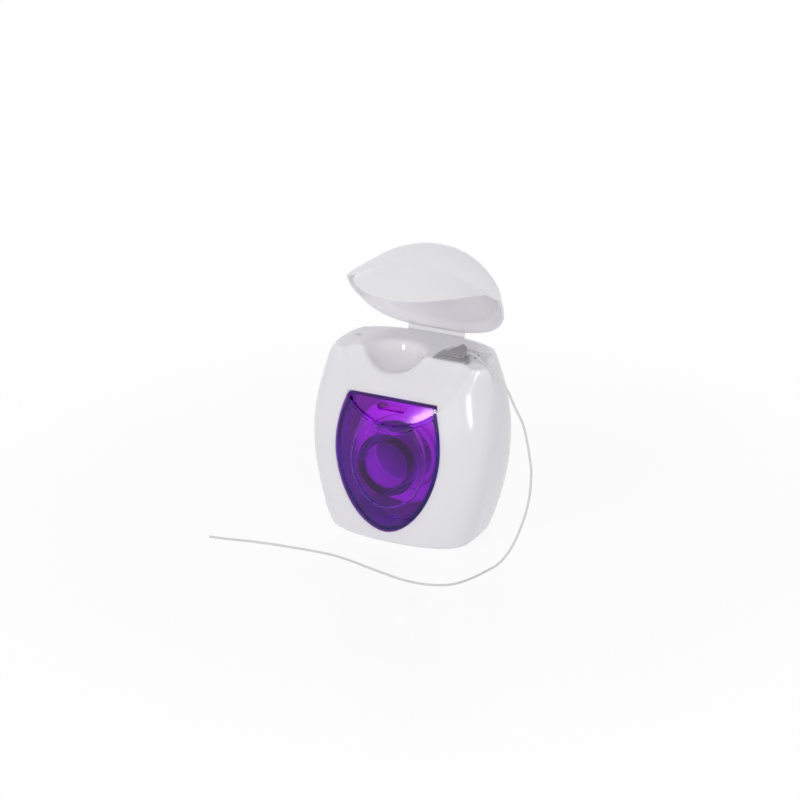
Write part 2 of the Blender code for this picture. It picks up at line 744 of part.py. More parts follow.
def thick_sheet(name, surface, thickness):
    """A grid of points made solid downwards."""
    rows, columns = surface.shape[:2]
    top = surface.reshape(-1, 3)
    points = np.vstack([top, top - np.array([0, 0, thickness])])
    count = rows * columns
    faces = []
    for row in range(rows - 1):
        for column in range(columns - 1):
            here = row * columns + column
            quad = (here, here + 1, here + columns + 1, here + columns)
            faces.append(quad)
            faces.append(tuple(count + corner for corner in quad[::-1]))
    edge = [column for column in range(columns)]
    edge += [row * columns + columns - 1 for row in range(1, rows)]
    edge += [(rows - 1) * columns + column for column in range(columns - 2, -1, -1)]
    edge += [row * columns for row in range(rows - 2, 0, -1)]
    for here, ahead in zip(edge, edge[1:] + edge[:1]):
        faces.append((here, ahead, count + ahead, count + here))
    return mesh_object(name, points, faces)


def tongue():
    """The raised flap: it lifts towards its free end and towards the back, with a rounded far corner."""
    root = PLATE_LEFT_X + PLATE_ROOT_WIDTH / 2
    length = EXIT_X - FLOSS_RADIUS - TONGUE_CLEARANCE - root
    front = plate_front_y() + PLATE_STRIP + TONGUE_CLEARANCE
    depth = PLATE_DEPTH - PLATE_STRIP - TONGUE_CLEARANCE
    along, across = np.meshgrid(np.linspace(0, 1, 9), np.linspace(0, 1, 7), indexing="ij")
    end = length * (1 - 0.18 * across**4)
    x = root + along * end
    y = front + across * (depth + TONGUE_FLARE * along)
    z = CASE_HEIGHT + TONGUE_RISE * along**1.4 * (0.12 + 0.88 * across)
    return thick_sheet("tongue", np.stack([x, y, z], -1), SHEET)


def make_cutter(material):
    """The stamped cutter: a flat plate with an arm, the raised tongue and two legs."""
    left, right = PLATE_LEFT_X, PLATE_LEFT_X + PLATE_WIDTH
    front = plate_front_y()
    strip, arm, back = front + PLATE_STRIP, front + PLATE_ARM_LENGTH, front + PLATE_DEPTH
    outline = (
        (left, front),
        (right, front),
        (right, arm),
        (right - PLATE_ARM_WIDTH, arm),
        (right - PLATE_ARM_WIDTH, strip),
        (left + PLATE_ROOT_WIDTH, strip),
        (left + PLATE_ROOT_WIDTH, back),
        (left, back),
    )
    cutter = prism("cutter_plate", outline, "Z", CASE_HEIGHT - SHEET, CASE_HEIGHT)
    carve(cutter, tongue(), "UNION")
    for number, (x, y) in enumerate(leg_places()):
        low = (x, y, CASE_HEIGHT - SHEET - LEG_LENGTH)
        high = (x + SHEET, y + LEG_WIDTH, CASE_HEIGHT - SHEET / 2)
        carve(cutter, box(f"leg_{number}", low, high), "UNION")
    settle(cutter, material)
    return cutter


def make_spool(core_material, floss_material):
    """The core that turns on the post, and the wound floss on it."""
    middle = (TUB_BACK_Y + POST_END_Y) / 2
    bore = POST_RADIUS + SPOOL_CLEARANCE
    outside = bore + CORE_WALL
    half = CORE_WIDTH / 2
    profile = (
        (bore, middle - half),
        (outside, middle - half),
        (outside, middle + half),
        (bore, middle + half),
    )
    turned("spool_core", profile, core_material)
    inside, half, round_off = outside + SPOOL_CLEARANCE, WINDING_WIDTH / 2, CORE_WALL / 2
    profile = (
        (inside, middle - half),
        (WINDING_RADIUS - round_off, middle - half),
        (WINDING_RADIUS, middle - half + round_off),
        (WINDING_RADIUS, middle + half - round_off),
        (WINDING_RADIUS - round_off, middle + half),
        (inside, middle + half),
    )
    turned("floss_winding", profile, floss_material)
    for name in ("spool_core", "floss_winding"):
        piece = bpy.data.objects[name]
        centre = Vector((0, middle, SPOOL_Z))
        piece.data.transform(Matrix.Translation(-centre))
        piece.location = centre
        piece.data.shade_smooth()
        piece.data.set_sharp_from_angle(angle=SHARP_ANGLE)


def floss_tube(name, route, material):
    """A round cord along a smooth curve, with closed ends."""
    curve = bpy.data.curves.new(name, "CURVE")
    curve.dimensions = "3D"
    curve.bevel_depth = FLOSS_RADIUS
    curve.bevel_resolution = 2
    curve.use_fill_caps = True
    points = smooth_route(route, FLOSS_SPACING)
    spline = curve.splines.new("POLY")
    spline.points.add(len(points) - 1)
    for place, point in zip(spline.points, points):
        place.co = (*point, 1)
    curve.materials.append(material)
    made = bpy.data.objects.new(name, curve)
    bpy.context.scene.collection.objects.link(made)
    length = np.linalg.norm(np.diff(points, axis=0), axis=1).sum()
    print(name, "length in metres", round(float(length), 4), "points", len(points))


def make_floss(material):
    """The run inside from the winding to the slot, and the free strand."""
    start_x, _, start_z = rim_route()[0]
    side = WINDING_RADIUS + SPOOL_CLEARANCE + FLOSS_RADIUS
    end_z = start_z - PART_GAP
    lead = (
        (side, LEAD_Y, SPOOL_Z),
        (side, LEAD_Y, SPOOL_Z + (end_z - SPOOL_Z) / 4),
        ((side + start_x) / 2, LEAD_Y, SPOOL_Z + (end_z - SPOOL_Z) * 0.6),
        (start_x, LEAD_Y, end_z - OVERRUN),
        (start_x, LEAD_Y, end_z),
    )
    floss_tube("floss_lead", lead, material)
    floss_tube("floss_strand", [*rim_route(), *FALL_ROUTE], material)


def main():
    clear_scene()
    white = plastic("white_moulding", (0.86, 0.86, 0.89), 0.25)
    purple = plastic("clear_purple", (0.22, 0.03, 0.42), 0.12, 0.75)
    steel = plastic("steel", (0.36, 0.35, 0.38), 0.38, metallic=1.0)
    core = plastic("core_moulding", (0.80, 0.80, 0.80), 0.5)
    floss = plastic("floss", (0.90, 0.91, 0.90), 0.55)
    make_case(white)
    make_insert(purple)
    make_lid(white)
    make_hinge(white)
    make_cutter(steel)
    make_spool(core, floss)
    make_floss(floss)


main()
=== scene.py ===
# %% [markdown]
# A pocket floss dispenser stands open on a pale floor, with one strand of floss drawn out.
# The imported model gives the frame: every piece of it has a body that it moves with.

# %% Load the frame
import math

import bmesh
import bpy
import numpy as np
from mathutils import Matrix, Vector


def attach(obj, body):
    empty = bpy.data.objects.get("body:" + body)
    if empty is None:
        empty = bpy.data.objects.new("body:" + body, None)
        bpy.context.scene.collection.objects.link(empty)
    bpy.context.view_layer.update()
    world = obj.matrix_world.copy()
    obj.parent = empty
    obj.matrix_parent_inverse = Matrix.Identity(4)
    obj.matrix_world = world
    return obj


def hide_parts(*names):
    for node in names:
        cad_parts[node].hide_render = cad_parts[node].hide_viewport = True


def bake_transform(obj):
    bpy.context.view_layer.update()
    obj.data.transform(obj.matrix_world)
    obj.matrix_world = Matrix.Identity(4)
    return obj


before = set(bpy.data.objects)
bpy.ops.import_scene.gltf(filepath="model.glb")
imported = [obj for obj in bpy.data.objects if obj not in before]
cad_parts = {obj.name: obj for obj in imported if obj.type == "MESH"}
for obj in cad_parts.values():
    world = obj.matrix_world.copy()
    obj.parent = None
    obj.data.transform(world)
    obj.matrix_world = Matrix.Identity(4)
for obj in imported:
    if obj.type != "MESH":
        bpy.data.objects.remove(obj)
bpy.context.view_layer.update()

# %% [markdown]
# The camera stands to the right of the front and looks down a little, from about 0.7 m away.
# A long lens keeps the upright edges nearly parallel, as in a catalogue picture.
# Its place is worked out from the turn, the height angle and the distance to a point near the middle.

# %% Camera
CAMERA_TURN = math.radians(26.13)
CAMERA_RAISE = math.radians(22.34)
CAMERA_DISTANCE = 0.72226
CAMERA_TARGET = Vector((-0.0050, 0.00148, 0.03358))
CAMERA_LENS = 121.95

towards_camera = Vector(
    (
        math.sin(CAMERA_TURN) * math.cos(CAMERA_RAISE),
        -math.cos(CAMERA_TURN) * math.cos(CAMERA_RAISE),
        math.sin(CAMERA_RAISE),
    )
)
camera_data = bpy.data.cameras.new("camera")
camera_data.lens = CAMERA_LENS
camera_data.sensor_width = 36
camera_data.clip_start = 0.01
camera_data.clip_end = 20
camera = bpy.data.objects.new("camera", camera_data)
camera.location = CAMERA_TARGET + CAMERA_DISTANCE * towards_camera
camera.rotation_euler = towards_camera.to_track_quat("Z", "Y").to_euler()
bpy.context.scene.collection.objects.link(camera)
bpy.context.scene.camera = camera
print("the camera stands at", [round(v, 3) for v in camera.location])

# %% [markdown]
# Materials come from a few shared helpers. Moulded plastic is never one flat value: its gloss varies a
# little from the tool's polish, and its skin has a faint slow ripple, so highlights break up softly.

# %% Helpers for materials
def set_inputs(node, values):
    """Give a node's inputs their values, by name."""
    for name, value in values.items():
        node.inputs[name].default_value = value
    return node


def add_node(nodes, kind, values=None):
    """A new node, with values for some of its inputs."""
    return set_inputs(nodes.new("ShaderNode" + kind), values or {})


def new_material(name, values):
    """A node material, with values for its shader's inputs."""
    material = bpy.data.materials.new(name)
    material.use_nodes = True
    nodes, links = material.node_tree.nodes, material.node_tree.links
    set_inputs(nodes["Principled BSDF"], values)
    return material, nodes, links


def add_noise(nodes, links, scale, detail):
    """Noise over the object's own coordinates."""
    place = nodes.new("ShaderNodeTexCoord")
    noise = add_node(nodes, "TexNoise", {"Scale": scale, "Detail": detail})
    links.new(place.outputs["Object"], noise.inputs["Vector"])
    return noise


def ramp_between(nodes, links, source, low, high):
    """The source's 0 to 1 stretched between two values."""
    stretch = add_node(nodes, "MapRange", {"To Min": low, "To Max": high})
    links.new(source, stretch.inputs["Value"])
    return stretch.outputs["Result"]


def vary_roughness(nodes, links, source, low, high):
    """The shader's roughness, between two values."""
    links.new(ramp_between(nodes, links, source, low, high), nodes["Principled BSDF"].inputs["Roughness"])


def vary_colour(nodes, links, source, low, high, start=0.0, end=1.0):
    """The shader's colour, from one colour where the source is at start to another where it is at end."""
    ramp = nodes.new("ShaderNodeValToRGB")
    for element, place, colour in zip(ramp.color_ramp.elements, (start, end), (low, high)):
        element.position = place
        element.color = (*colour, 1)
    links.new(source, ramp.inputs["Fac"])
    links.new(ramp.outputs["Color"], nodes["Principled BSDF"].inputs["Base Color"])


def add_bump(nodes, links, height, strength, distance):
    """A bump from a height value, on the shader's normal."""
    bump = add_node(nodes, "Bump", {"Strength": strength, "Distance": distance})
    links.new(height, bump.inputs["Height"])
    links.new(bump.outputs["Normal"], nodes["Principled BSDF"].inputs["Normal"])


def mixed(nodes, links, factor, first, second):
    """A shader between two others: the first at factor 0 and the second at factor 1."""
    mix = nodes.new("ShaderNodeMixShader")
    for socket, source in zip(mix.inputs, (factor, first, second)):
        links.new(source, socket)
    return mix.outputs["Shader"]


# %% [markdown]
# Floss is a bundle of fine waxed fibres with a slight twist. Its pattern has to follow the strand, so it
# reads the strand's own UV map: one direction runs along it and the other around it.

# %% Floss finish
def floss_finish(name, dark, light):
    """Off-white waxed fibres: thin slanting lines in the colour and in the bump."""
    material, nodes, links = new_material(
        name,
        {
            "Roughness": 0.42,
            "Subsurface Weight": 0.12,
            "Subsurface Radius": (0.0006, 0.0006, 0.0006),
            "Subsurface Scale": 1.0,
        },
    )
    place = nodes.new("ShaderNodeUVMap")
    place.uv_map = "strand"
    wave = add_node(nodes, "TexWave", {"Scale": 2.2, "Distortion": 1.2, "Detail": 2.0})
    wave.bands_direction = "DIAGONAL"
    links.new(place.outputs["UV"], wave.inputs["Vector"])
    vary_colour(nodes, links, wave.outputs["Fac"], (dark, dark, dark), (light, light, light))
    add_bump(nodes, links, wave.outputs["Fac"], 0.35, 0.00005)
    return material


# Two copies of one floss. The wound copy is lighter: painted light that stands in for the light inside the
# case.
floss_material = floss_finish("waxed_floss", 0.62, 0.78)
wound_floss_painted_lighter = floss_finish("waxed_floss_wound_painted_lighter", 0.78, 0.90)
print("made", floss_material.name, wound_floss_painted_lighter.name)

# %% [markdown]
# A strand is a circle carried along a path. The path is a smooth curve through a few places, and each
# circle stands square to it. The two directions across the path are turned along with it step by step, so
# that the tube never twists suddenly.

# %% Helpers for paths and tubes
def smooth_path(places, spacing):
    """A Catmull-Rom curve through the places, then points along it at an even spacing."""
    knots = np.array(places, float)
    padded = np.vstack([2 * knots[0] - knots[1], knots, 2 * knots[-1] - knots[-2]])
    share = np.linspace(0, 1, 24, endpoint=False)[None, :, None]
    before, start, end, after = (padded[i : len(padded) - 3 + i, None, :] for i in range(4))
    curve = 0.5 * (
        2 * start
        + (end - before) * share
        + (2 * before - 5 * start + 4 * end - after) * share**2
        + (3 * start - before - 3 * end + after) * share**3
    )
    fine = np.vstack([curve.reshape(-1, 3), knots[-1]])
    travelled = np.concatenate([[0], np.cumsum(np.linalg.norm(np.diff(fine, axis=0), axis=1))])
    marks = np.linspace(0, travelled[-1], max(int(round(travelled[-1] / spacing)), 2) + 1)
    return np.stack([np.interp(marks, travelled, fine[:, axis]) for axis in range(3)], -1)


def frames_along(path):
    """Two directions across the path at each point, carried forward without twist."""
    along = np.gradient(path, axis=0)
    along /= np.linalg.norm(along, axis=1, keepdims=True)
    first = np.cross(along[0], (0.3, 1.0, 0.1))
    firsts = []
    for direction in along:
        first = first - direction * (first @ direction)
        first = first / np.linalg.norm(first)
        firsts.append(first)
    firsts = np.array(firsts)
    return firsts, np.cross(along, firsts)


def set_uvs(mesh, uvs):
    """The strand's UV map, from one (u, v) pair for each point."""
    layer = mesh.uv_layers.new(name="strand")
    corners = np.zeros(len(mesh.loops), int)
    mesh.loops.foreach_get("vertex_index", corners)
    layer.data.foreach_set("uv", np.asarray(uvs, float)[corners].ravel())


def mesh_piece(name, points, faces, material):
    """An object from an array of points and a list of faces, with smooth shading."""
    mesh = bpy.data.meshes.new(name)
    mesh.from_pydata(np.asarray(points, float).tolist(), [], [tuple(map(int, face)) for face in faces])
    mesh.materials.append(material)
    mesh.shade_smooth()
    made = bpy.data.objects.new(name, mesh)
    bpy.context.scene.collection.objects.link(made)
    return made


def grid_faces(rows, columns, around=False, offset=0):
    """Four-cornered faces over a grid of points, closed in the second direction where it goes around."""
    row, column = np.arange(rows - 1)[:, None] * columns, np.arange(columns if around else columns - 1)
    ahead = (column + 1) % columns
    corners = [row + column, row + ahead, row + columns + ahead, row + columns + column]
    return (np.stack(corners, -1).reshape(-1, 4) + offset).tolist()


def fan(start, count, tip, flip=False):
    """Triangles that close a ring of points, numbered from start, with one middle point."""
    here = np.arange(count)
    pair = start + np.stack([here, (here + 1) % count], -1)
    return np.insert(pair[:, ::-1] if flip else pair, 2, tip, axis=1).tolist()


STRAND_SIDES = 12
STRAND_WRAP = 0.0016


def tube(name, path, radius, material):
    """A circle carried along a path: point = path + radius * (cos(turn) * first + sin(turn) * second).
    A fan closes each end, and the UVs count turns around and wraps along."""
    firsts, seconds = frames_along(path)
    length = np.concatenate([[0], np.cumsum(np.linalg.norm(np.diff(path, axis=0), axis=1))])
    turn = np.linspace(0, 2 * np.pi, STRAND_SIDES, endpoint=False)
    ring = np.cos(turn)[None, :, None] * firsts[:, None] + np.sin(turn)[None, :, None] * seconds[:, None]
    points = np.vstack([(path[:, None] + radius * ring).reshape(-1, 3), path[0], path[-1]])
    uvs = np.stack(np.broadcast_arrays(turn[None] / (2 * np.pi), length[:, None] / STRAND_WRAP), -1)
    uvs = np.vstack([uvs.reshape(-1, 2), [0, 0], [0, length[-1] / STRAND_WRAP]])
    faces = grid_faces(len(path), STRAND_SIDES, around=True)
    faces += fan(0, STRAND_SIDES, len(points) - 2, flip=True)
    faces += fan((len(path) - 1) * STRAND_SIDES, STRAND_SIDES, len(points) - 1)
    made = mesh_piece(name, points, [face[::-1] for face in faces], material)
    set_uvs(made.data, uvs)
    print(name, "is", round(float(length[-1]) * 1000, 1), "mm long")
    return made, float(length[-1])


# %% [markdown]
# The free floss comes up through the slot under the cutter, goes over the right end of the deck, hangs
# down in one loose arc and lies along the floor in front. The photograph shows it from end to end, so
# its places are those of the solid in the frame.

# %% The free strand
FLOSS_RADIUS = 0.0003
STRAND_ROUTE = (
    (0.01445, 0.0009, 0.0497),
    (0.01460, 0.0009, 0.0504),
    (0.01560, 0.0007, 0.0508),
    (0.01730, 0.0002, 0.0507),
    (0.01900, -0.0006, 0.0503),
    (0.02080, -0.0017, 0.0498),
    (0.02230, -0.0026, 0.0495),
    (0.02350, -0.0031, 0.0489),
    (0.02478, -0.0034, 0.0477),
    (0.02660, -0.0036, 0.0463),
    (0.02841, -0.0038, 0.0444),
    (0.03097, -0.0043, 0.0400),
    (0.03357, -0.0049, 0.0359),
    (0.03520, -0.0055, 0.0308),
    (0.03646, -0.0062, 0.0257),
    (0.03683, -0.0066, 0.0231),
    (0.03699, -0.0077, 0.0179),
    (0.03647, -0.0092, 0.0127),
    (0.03544, -0.0115, 0.0077),
    (0.03440, -0.0140, 0.0042),
    (0.03290, -0.0172, 0.0016),
    (0.03100, -0.0206, 0.0005),
    (0.02897, -0.0264, 0.0003),
    (0.02660, -0.0309, 0.0003),
    (0.02352, -0.0334, 0.0003),
    (0.01854, -0.0348, 0.0003),
    (0.01277, -0.0347, 0.0003),
    (0.00787, -0.0336, 0.0003),
    (0.00292, -0.0324, 0.0003),
    (-0.00221, -0.0310, 0.0003),
    (-0.00711, -0.0300, 0.0003),
    (-0.01176, -0.0296, 0.0003),
    (-0.01896, -0.0300, 0.0003),
    (-0.02606, -0.0307, 0.0003),
    (-0.03305, -0.0318, 0.0003),
    (-0.03978, -0.0333, 0.0003),
    (-0.04399, -0.0340, 0.0003),
)

strand_path = smooth_path(STRAND_ROUTE, 0.0006)
strand, strand_length = tube("floss_free", strand_path, FLOSS_RADIUS, floss_material)
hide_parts("floss_strand")
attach(strand, "case")

# %% [markdown]
# The case and the shut lid are one egg. Its level sections change smoothly from a small rounded oblong at
# the base to an almond at the rim, and then shrink to the crown. Every moulded piece is cut from this one
# surface, so the pieces meet flush, and one function of two parameters gives it.

# %% The egg
CASE_HEIGHT = 0.050
DOME_HEIGHT = 0.0140
RIM_SHIFT = 0.0035
# Sizes at the base, at the belly and at the rim.
HALF_WIDTHS = (0.0201, 0.0265, 0.0223)
REAR_DEPTHS = (0.0125, 0.0162, 0.0172)
FRONT_DEPTHS = (0.0163, 0.0178, 0.0121)
BELLY_SHARE = 0.61
FRONT_BELLY_SHARE = 0.20
REAR_POWER = 2.9


def bowed(share, low, middle, high, peak):
    """A size that swells from its low end to a middle value and falls to its high end, on two parabolas."""
    below = middle - (middle - low) * ((peak - share) / peak) ** 2
    above = middle - (middle - high) * ((share - peak) / (1 - peak)) ** 2
    return np.where(share < peak, below, above)


def egg_section(height, inset=0.0):
    """Half width, rear depth, front depth, centre and powers of the egg's level section."""
    height = np.asarray(height, float)
    share = np.clip(height / CASE_HEIGHT, 0, 1)
    centre = -RIM_SHIFT * share**2
    half = bowed(share, *HALF_WIDTHS, BELLY_SHARE) - inset
    rear = bowed(share, *REAR_DEPTHS, BELLY_SHARE) - inset
    front = centre + bowed(share, *FRONT_DEPTHS, FRONT_BELLY_SHARE) - inset
    spread = 2.0 - 0.29 * np.minimum(share / 0.72, 1)
    power = 0.2 + 1.0 * share**6
    climb = np.maximum(height - CASE_HEIGHT, 0)
    rise = np.clip(climb / (DOME_HEIGHT - inset), 0, 1)
    half = half * np.sqrt(1 - rise**1.22)
    rear = rear * (1 - rise**2.39) ** 0.42
    front = (front - 0.22 * climb) * (1 - rise**3) ** 0.45
    spread = spread + (2 - spread) * np.minimum(1.5 * rise, 1)
    power = 0.5 + (power - 0.5) * (1 - rise) ** 1.5
    return half, rear, front, centre, REAR_POWER - 0.7 * rise, spread, power


def egg(turn, height, inset=0.0):
    """A point of the egg: x = half * sin ** (2 / power) and y = centre +- depth * cos ** (2 / power).

    turn is 0 at the middle of the front, 1 at the right side, 2 at the middle of the back, and negative on
    the left.
    """
    turn, height = np.broadcast_arrays(np.asarray(turn, float), np.asarray(height, float))
    half, rear, front, centre, rear_power, spread, power = egg_section(height, inset)
    size = np.abs(turn)
    ahead = 0.5 * np.pi * (1 - (1 - np.clip(size, 0, 1)) ** 1.5)
    behind = 0.5 * np.pi * np.clip(2 - size, 0, 1)
    x_front = half * np.sin(ahead) ** (2 / spread)
    y_front = centre - front * np.maximum(np.cos(ahead), 0) ** (2 * power)
    x_rear = half * np.sin(behind) ** (2 / rear_power)
    y_rear = centre + rear * np.maximum(np.cos(behind), 0) ** (2 / rear_power)
    in_front = size <= 1
    x = np.where(in_front, x_front, x_rear) * np.sign(turn)
    return np.stack([x, np.where(in_front, y_front, y_rear), height], -1)


def front_y(x, height):
    """Where the egg's front surface lies."""
    half, _, front, centre, _, spread, power = egg_section(height)
    return centre - front * np.maximum(1 - (np.abs(x) / half) ** spread, 0) ** power


def turn_at(x, height):
    """The turn at which the egg's front reaches x: egg() worked backwards."""
    half, _, _, _, _, spread, _ = egg_section(height)
    ahead = np.arcsin(np.clip((np.abs(x) / half) ** (spread / 2), 0, 1))
    return np.sign(x) * (1 - (1 - np.clip(ahead / (0.5 * np.pi), 0, 1)) ** (1 / 1.5))


def rear_turn_at(x, height):
    """The turn at which the egg's back reaches x."""
    half, _, _, _, rear_power, _, _ = egg_section(height)
    behind = np.arcsin(np.clip((np.abs(x) / half) ** (rear_power / 2), 0, 1))
    return 2 - behind / (0.5 * np.pi)


def eased(share):
    """0 to 1 with level ends: 3 * share ** 2 - 2 * share ** 3."""
    share = np.clip(share, 0, 1)
    return share * share * (3 - 2 * share)


print("the egg at the belly", np.round(egg([0, 1, 2], 0.0305) * 1000, 1).tolist())

# %% [markdown]
# The lid's apron hangs over the front in a half ellipse. Behind it the neck runs straight from side to
# side, a thin ledge behind the egg's face, so that the shut lid sits in the case's front without a step.

# %% The parting line and the window's outline
ARC_HALF_WIDTH = 0.0184
ARC_DROP = 0.0163
ARC_POWER = 1.88
LEDGE_DEPTH = 0.0008
PART_GAP = 0.0003
WINDOW_X = -0.0006
WINDOW_HALF_WIDTH = 0.0153
WINDOW_NARROWING = 0.0026
WINDOW_TOP_Z = 0.0399
WINDOW_WIDEST_Z = 0.0265
WINDOW_BOTTOM_Z = 0.0036
WINDOW_POWER = 1.8
CROSSING_LOW_Z = 0.036
HALVINGS = 50


def arc_x(height, clearance=0.0):
    """Half width of the parting line's arc at a height."""
    drop = np.clip((CASE_HEIGHT - height) / (ARC_DROP - clearance), 0, 1)
    return (ARC_HALF_WIDTH - clearance) * (1 - drop**ARC_POWER) ** (1 / ARC_POWER)


def arc_z(x, clearance=0.0):
    """Height of the parting line's arc at a place across."""
    share = np.clip(np.abs(x) / (ARC_HALF_WIDTH - clearance), 0, 1)
    return CASE_HEIGHT - (ARC_DROP - clearance) * (1 - share**ARC_POWER) ** (1 / ARC_POWER)


def neck_y(height):
    """Where the neck lies: a ledge's depth behind the egg's face at the arc."""
    height = np.clip(height, CASE_HEIGHT - ARC_DROP, CASE_HEIGHT)
    return front_y(arc_x(height), height) + LEDGE_DEPTH


def window_side(height, inset=0.0):
    """Half width of the window above its widest place."""
    top = WINDOW_TOP_Z - inset
    share = (height - WINDOW_WIDEST_Z) / (top - WINDOW_WIDEST_Z)
    return WINDOW_HALF_WIDTH - inset - WINDOW_NARROWING * share**2


def window_below(share, inset=0.0):
    """The window's lower quarter, from its bottom at share 0 to its widest place at share 1."""
    angle = 0.5 * np.pi * share
    x = (WINDOW_HALF_WIDTH - inset) * np.sin(angle) ** (2 / WINDOW_POWER)
    depth = WINDOW_WIDEST_Z - WINDOW_BOTTOM_Z - inset
    return x, WINDOW_WIDEST_Z - depth * np.maximum(np.cos(angle), 0) ** (2 / WINDOW_POWER)


def crossing_z(side):
    """The height at which one side of the window meets the arc, found by halving."""
    low, high = CROSSING_LOW_Z, WINDOW_TOP_Z
    for _ in range(HALVINGS):
        middle = (low + high) / 2
        outside = window_side(middle) + side * WINDOW_X > arc_x(middle)
        low, high = (middle, high) if outside else (low, middle)
    return low


def window_run(side, count):
    """One side of the window from its bottom up to the arc, as evenly spaced (x, z) pairs."""
    x_low, z_low = window_below(np.linspace(0, 1, 160))
    heights = np.linspace(WINDOW_WIDEST_Z, crossing_z(side), 80)[1:]
    x = np.concatenate([x_low, window_side(heights)])
    z = np.concatenate([z_low, heights])
    travelled = np.concatenate([[0], np.cumsum(np.hypot(np.diff(x), np.diff(z)))])
    marks = np.linspace(0, travelled[-1], count + 1)
    return WINDOW_X + side * np.interp(marks, travelled, x), np.interp(marks, travelled, z)


CORNER_DIP = 0.0015
TIP_DIP = 0.0009
# Inside this place there is no dip, and beyond the arc's end it shrinks over the second distance.
DIP_FROM_X = 0.0155
DIP_SHRINKS = 0.0020
# How far the dip reaches below and above the rim, and the distance over which it fades out above.
DIP_BELOW = 0.0055
DIP_ABOVE = 0.0083
DIP_FADE = 0.0080
# How far behind the neck's edge the dip of the deck fades out.
DIP_BEHIND = 0.006


def dip_inside(x):
    """How far the rim dips at a place inside the arc: nothing, then more and more towards the arc's end."""
    return CORNER_DIP * eased((np.abs(x) - DIP_FROM_X) / (ARC_HALF_WIDTH - DIP_FROM_X))


def rim_dip(turn):
    """How far the rim dips outside: most at the arc's end, a little at the tip, none at the back."""
    turn = np.asarray(turn, float)
    x = np.abs(egg(turn, CASE_HEIGHT)[..., 0])
    beyond = 1 - np.clip((x - ARC_HALF_WIDTH) / DIP_SHRINKS, 0, 1)
    front = np.where(x < ARC_HALF_WIDTH, dip_inside(x), TIP_DIP + (CORNER_DIP - TIP_DIP) * beyond**2.5)
    return np.where(np.abs(turn) <= 1, front, TIP_DIP * eased((1.3 - np.abs(turn)) / 0.3))


def dip_share(height):
    """How much of the dip reaches a height: all of it at the rim, none 5.5 mm below or 8.3 mm above it."""
    below = eased((height - CASE_HEIGHT + DIP_BELOW) / DIP_BELOW)
    above = eased((CASE_HEIGHT + DIP_ABOVE - height) / DIP_FADE)
    return np.where(height < CASE_HEIGHT, below, above)


def dipped_egg(turn, height, inset=0.0):
    """The egg with its heights drawn down by the rim's dip."""
    return egg(turn, height - rim_dip(turn) * dip_share(height), inset)


print("the window meets the arc at heights", [round(float(crossing_z(side)) * 1000, 2) for side in (-1, 1)])

# %% [markdown]
# White polypropylene from a polished tool is glossy and slightly soft: a little light goes into it, and its
# sheen is never even. One noise changes the roughness, a slower one shifts the colour a little, and a finer
# one gives the faint orange-peel ripple that breaks up the lamps' edges.

# %% White moulding finish
def white_finish():
    """Glossy white plastic with an uneven polish and a faint ripple."""
    material, nodes, links = new_material(
        "white_moulding_gloss",
        {
            "Subsurface Weight": 0.60,
            "Subsurface Radius": (0.0030, 0.0028, 0.0030),
            "Subsurface Scale": 1.0,
            "IOR": 1.49,
        },
    )
    polish, tint, ripple = (add_noise(nodes, links, *size) for size in ((95, 3), (30, 2), (260, 2)))
    vary_roughness(nodes, links, polish.outputs["Fac"], 0.08, 0.16)
    vary_colour(nodes, links, tint.outputs["Fac"], (0.855, 0.840, 0.880), (0.885, 0.870, 0.908), 0.35, 0.65)
    add_bump(nodes, links, ripple.outputs["Fac"], 0.06, 0.00004)
    return material


white_material = white_finish()
print("made", white_material.name)

# %% [markdown]
# Surfaces meet at exact seams, because both sides are worked out from the same numbers. So a piece is a
# list of patches, joined by merging the points that coincide. A wall comes from the Solidify modifier. The
# mouldings' edges get their small radii by smoothing, and the stamped steel gets its own from the Bevel
# modifier.

# %% Helpers for joining, walls and edges
def joined_patches(name, patches, material, merge=0.000005):
    """One object from (points, faces) patches, with coinciding points merged and faces turned outwards."""
    points, faces, start = [], [], 0
    for patch_points, patch_faces in patches:
        patch_points = np.asarray(patch_points, float).reshape(-1, 3)
        points.append(patch_points)
        faces += [tuple(int(corner) + start for corner in face) for face in patch_faces]
        start += len(patch_points)
    made = mesh_piece(name, np.vstack(points), faces, material)
    form = bmesh.new()
    form.from_mesh(made.data)
    bmesh.ops.remove_doubles(form, verts=form.verts, dist=merge)
    bmesh.ops.dissolve_degenerate(form, edges=form.edges, dist=merge)
    bmesh.ops.recalc_face_normals(form, faces=form.faces)
    form.to_mesh(made.data)
    form.free()
    made.data.shade_smooth()
    return made


def patch(points, around=False):
    """The points of a grid with their faces."""
    rows, columns = points.shape[:2]
    return points.reshape(-1, 3), grid_faces(rows, columns, around)


def closed_ring(rows):
    """The rows with the first repeated at the end, as a patch closed both ways."""
    return patch(np.concatenate([rows, rows[:1]]), around=True)


def add_wall(target, thickness):
    """A wall grown inwards from the surface."""
    wall = target.modifiers.new("wall", "SOLIDIFY")
    wall.thickness = thickness
    wall.offset = -1


def add_edges(target, width):
    """A small radius on every sharp edge."""
    edges = target.modifiers.new("edges", "BEVEL")
    edges.width = width
    edges.segments = 2
    edges.limit_method = "ANGLE"
    edges.angle_limit = math.radians(50)
    edges.use_clamp_overlap = False
    edges.loop_slide = False


def make_real(target, angle=34):
    """The modifiers' result as the object's own mesh, smooth but for edges past an angle."""
    bpy.context.view_layer.update()
    graph = bpy.context.evaluated_depsgraph_get()
    mesh = bpy.data.meshes.new_from_object(target.evaluated_get(graph))
    tools = [change.object for change in target.modifiers if change.type == "BOOLEAN"]
    target.modifiers.clear()
    target.data = mesh
    mesh.shade_smooth()
    mesh.set_sharp_from_angle(angle=math.radians(angle))
    for tool in tools:
        bpy.data.objects.remove(tool, do_unlink=True)
    return target


def joined(target, *others):
    """The target with other objects' meshes made part of it."""
    with bpy.context.temp_override(active_object=target, selected_editable_objects=[target, *others]):
        bpy.ops.object.join()
    return target


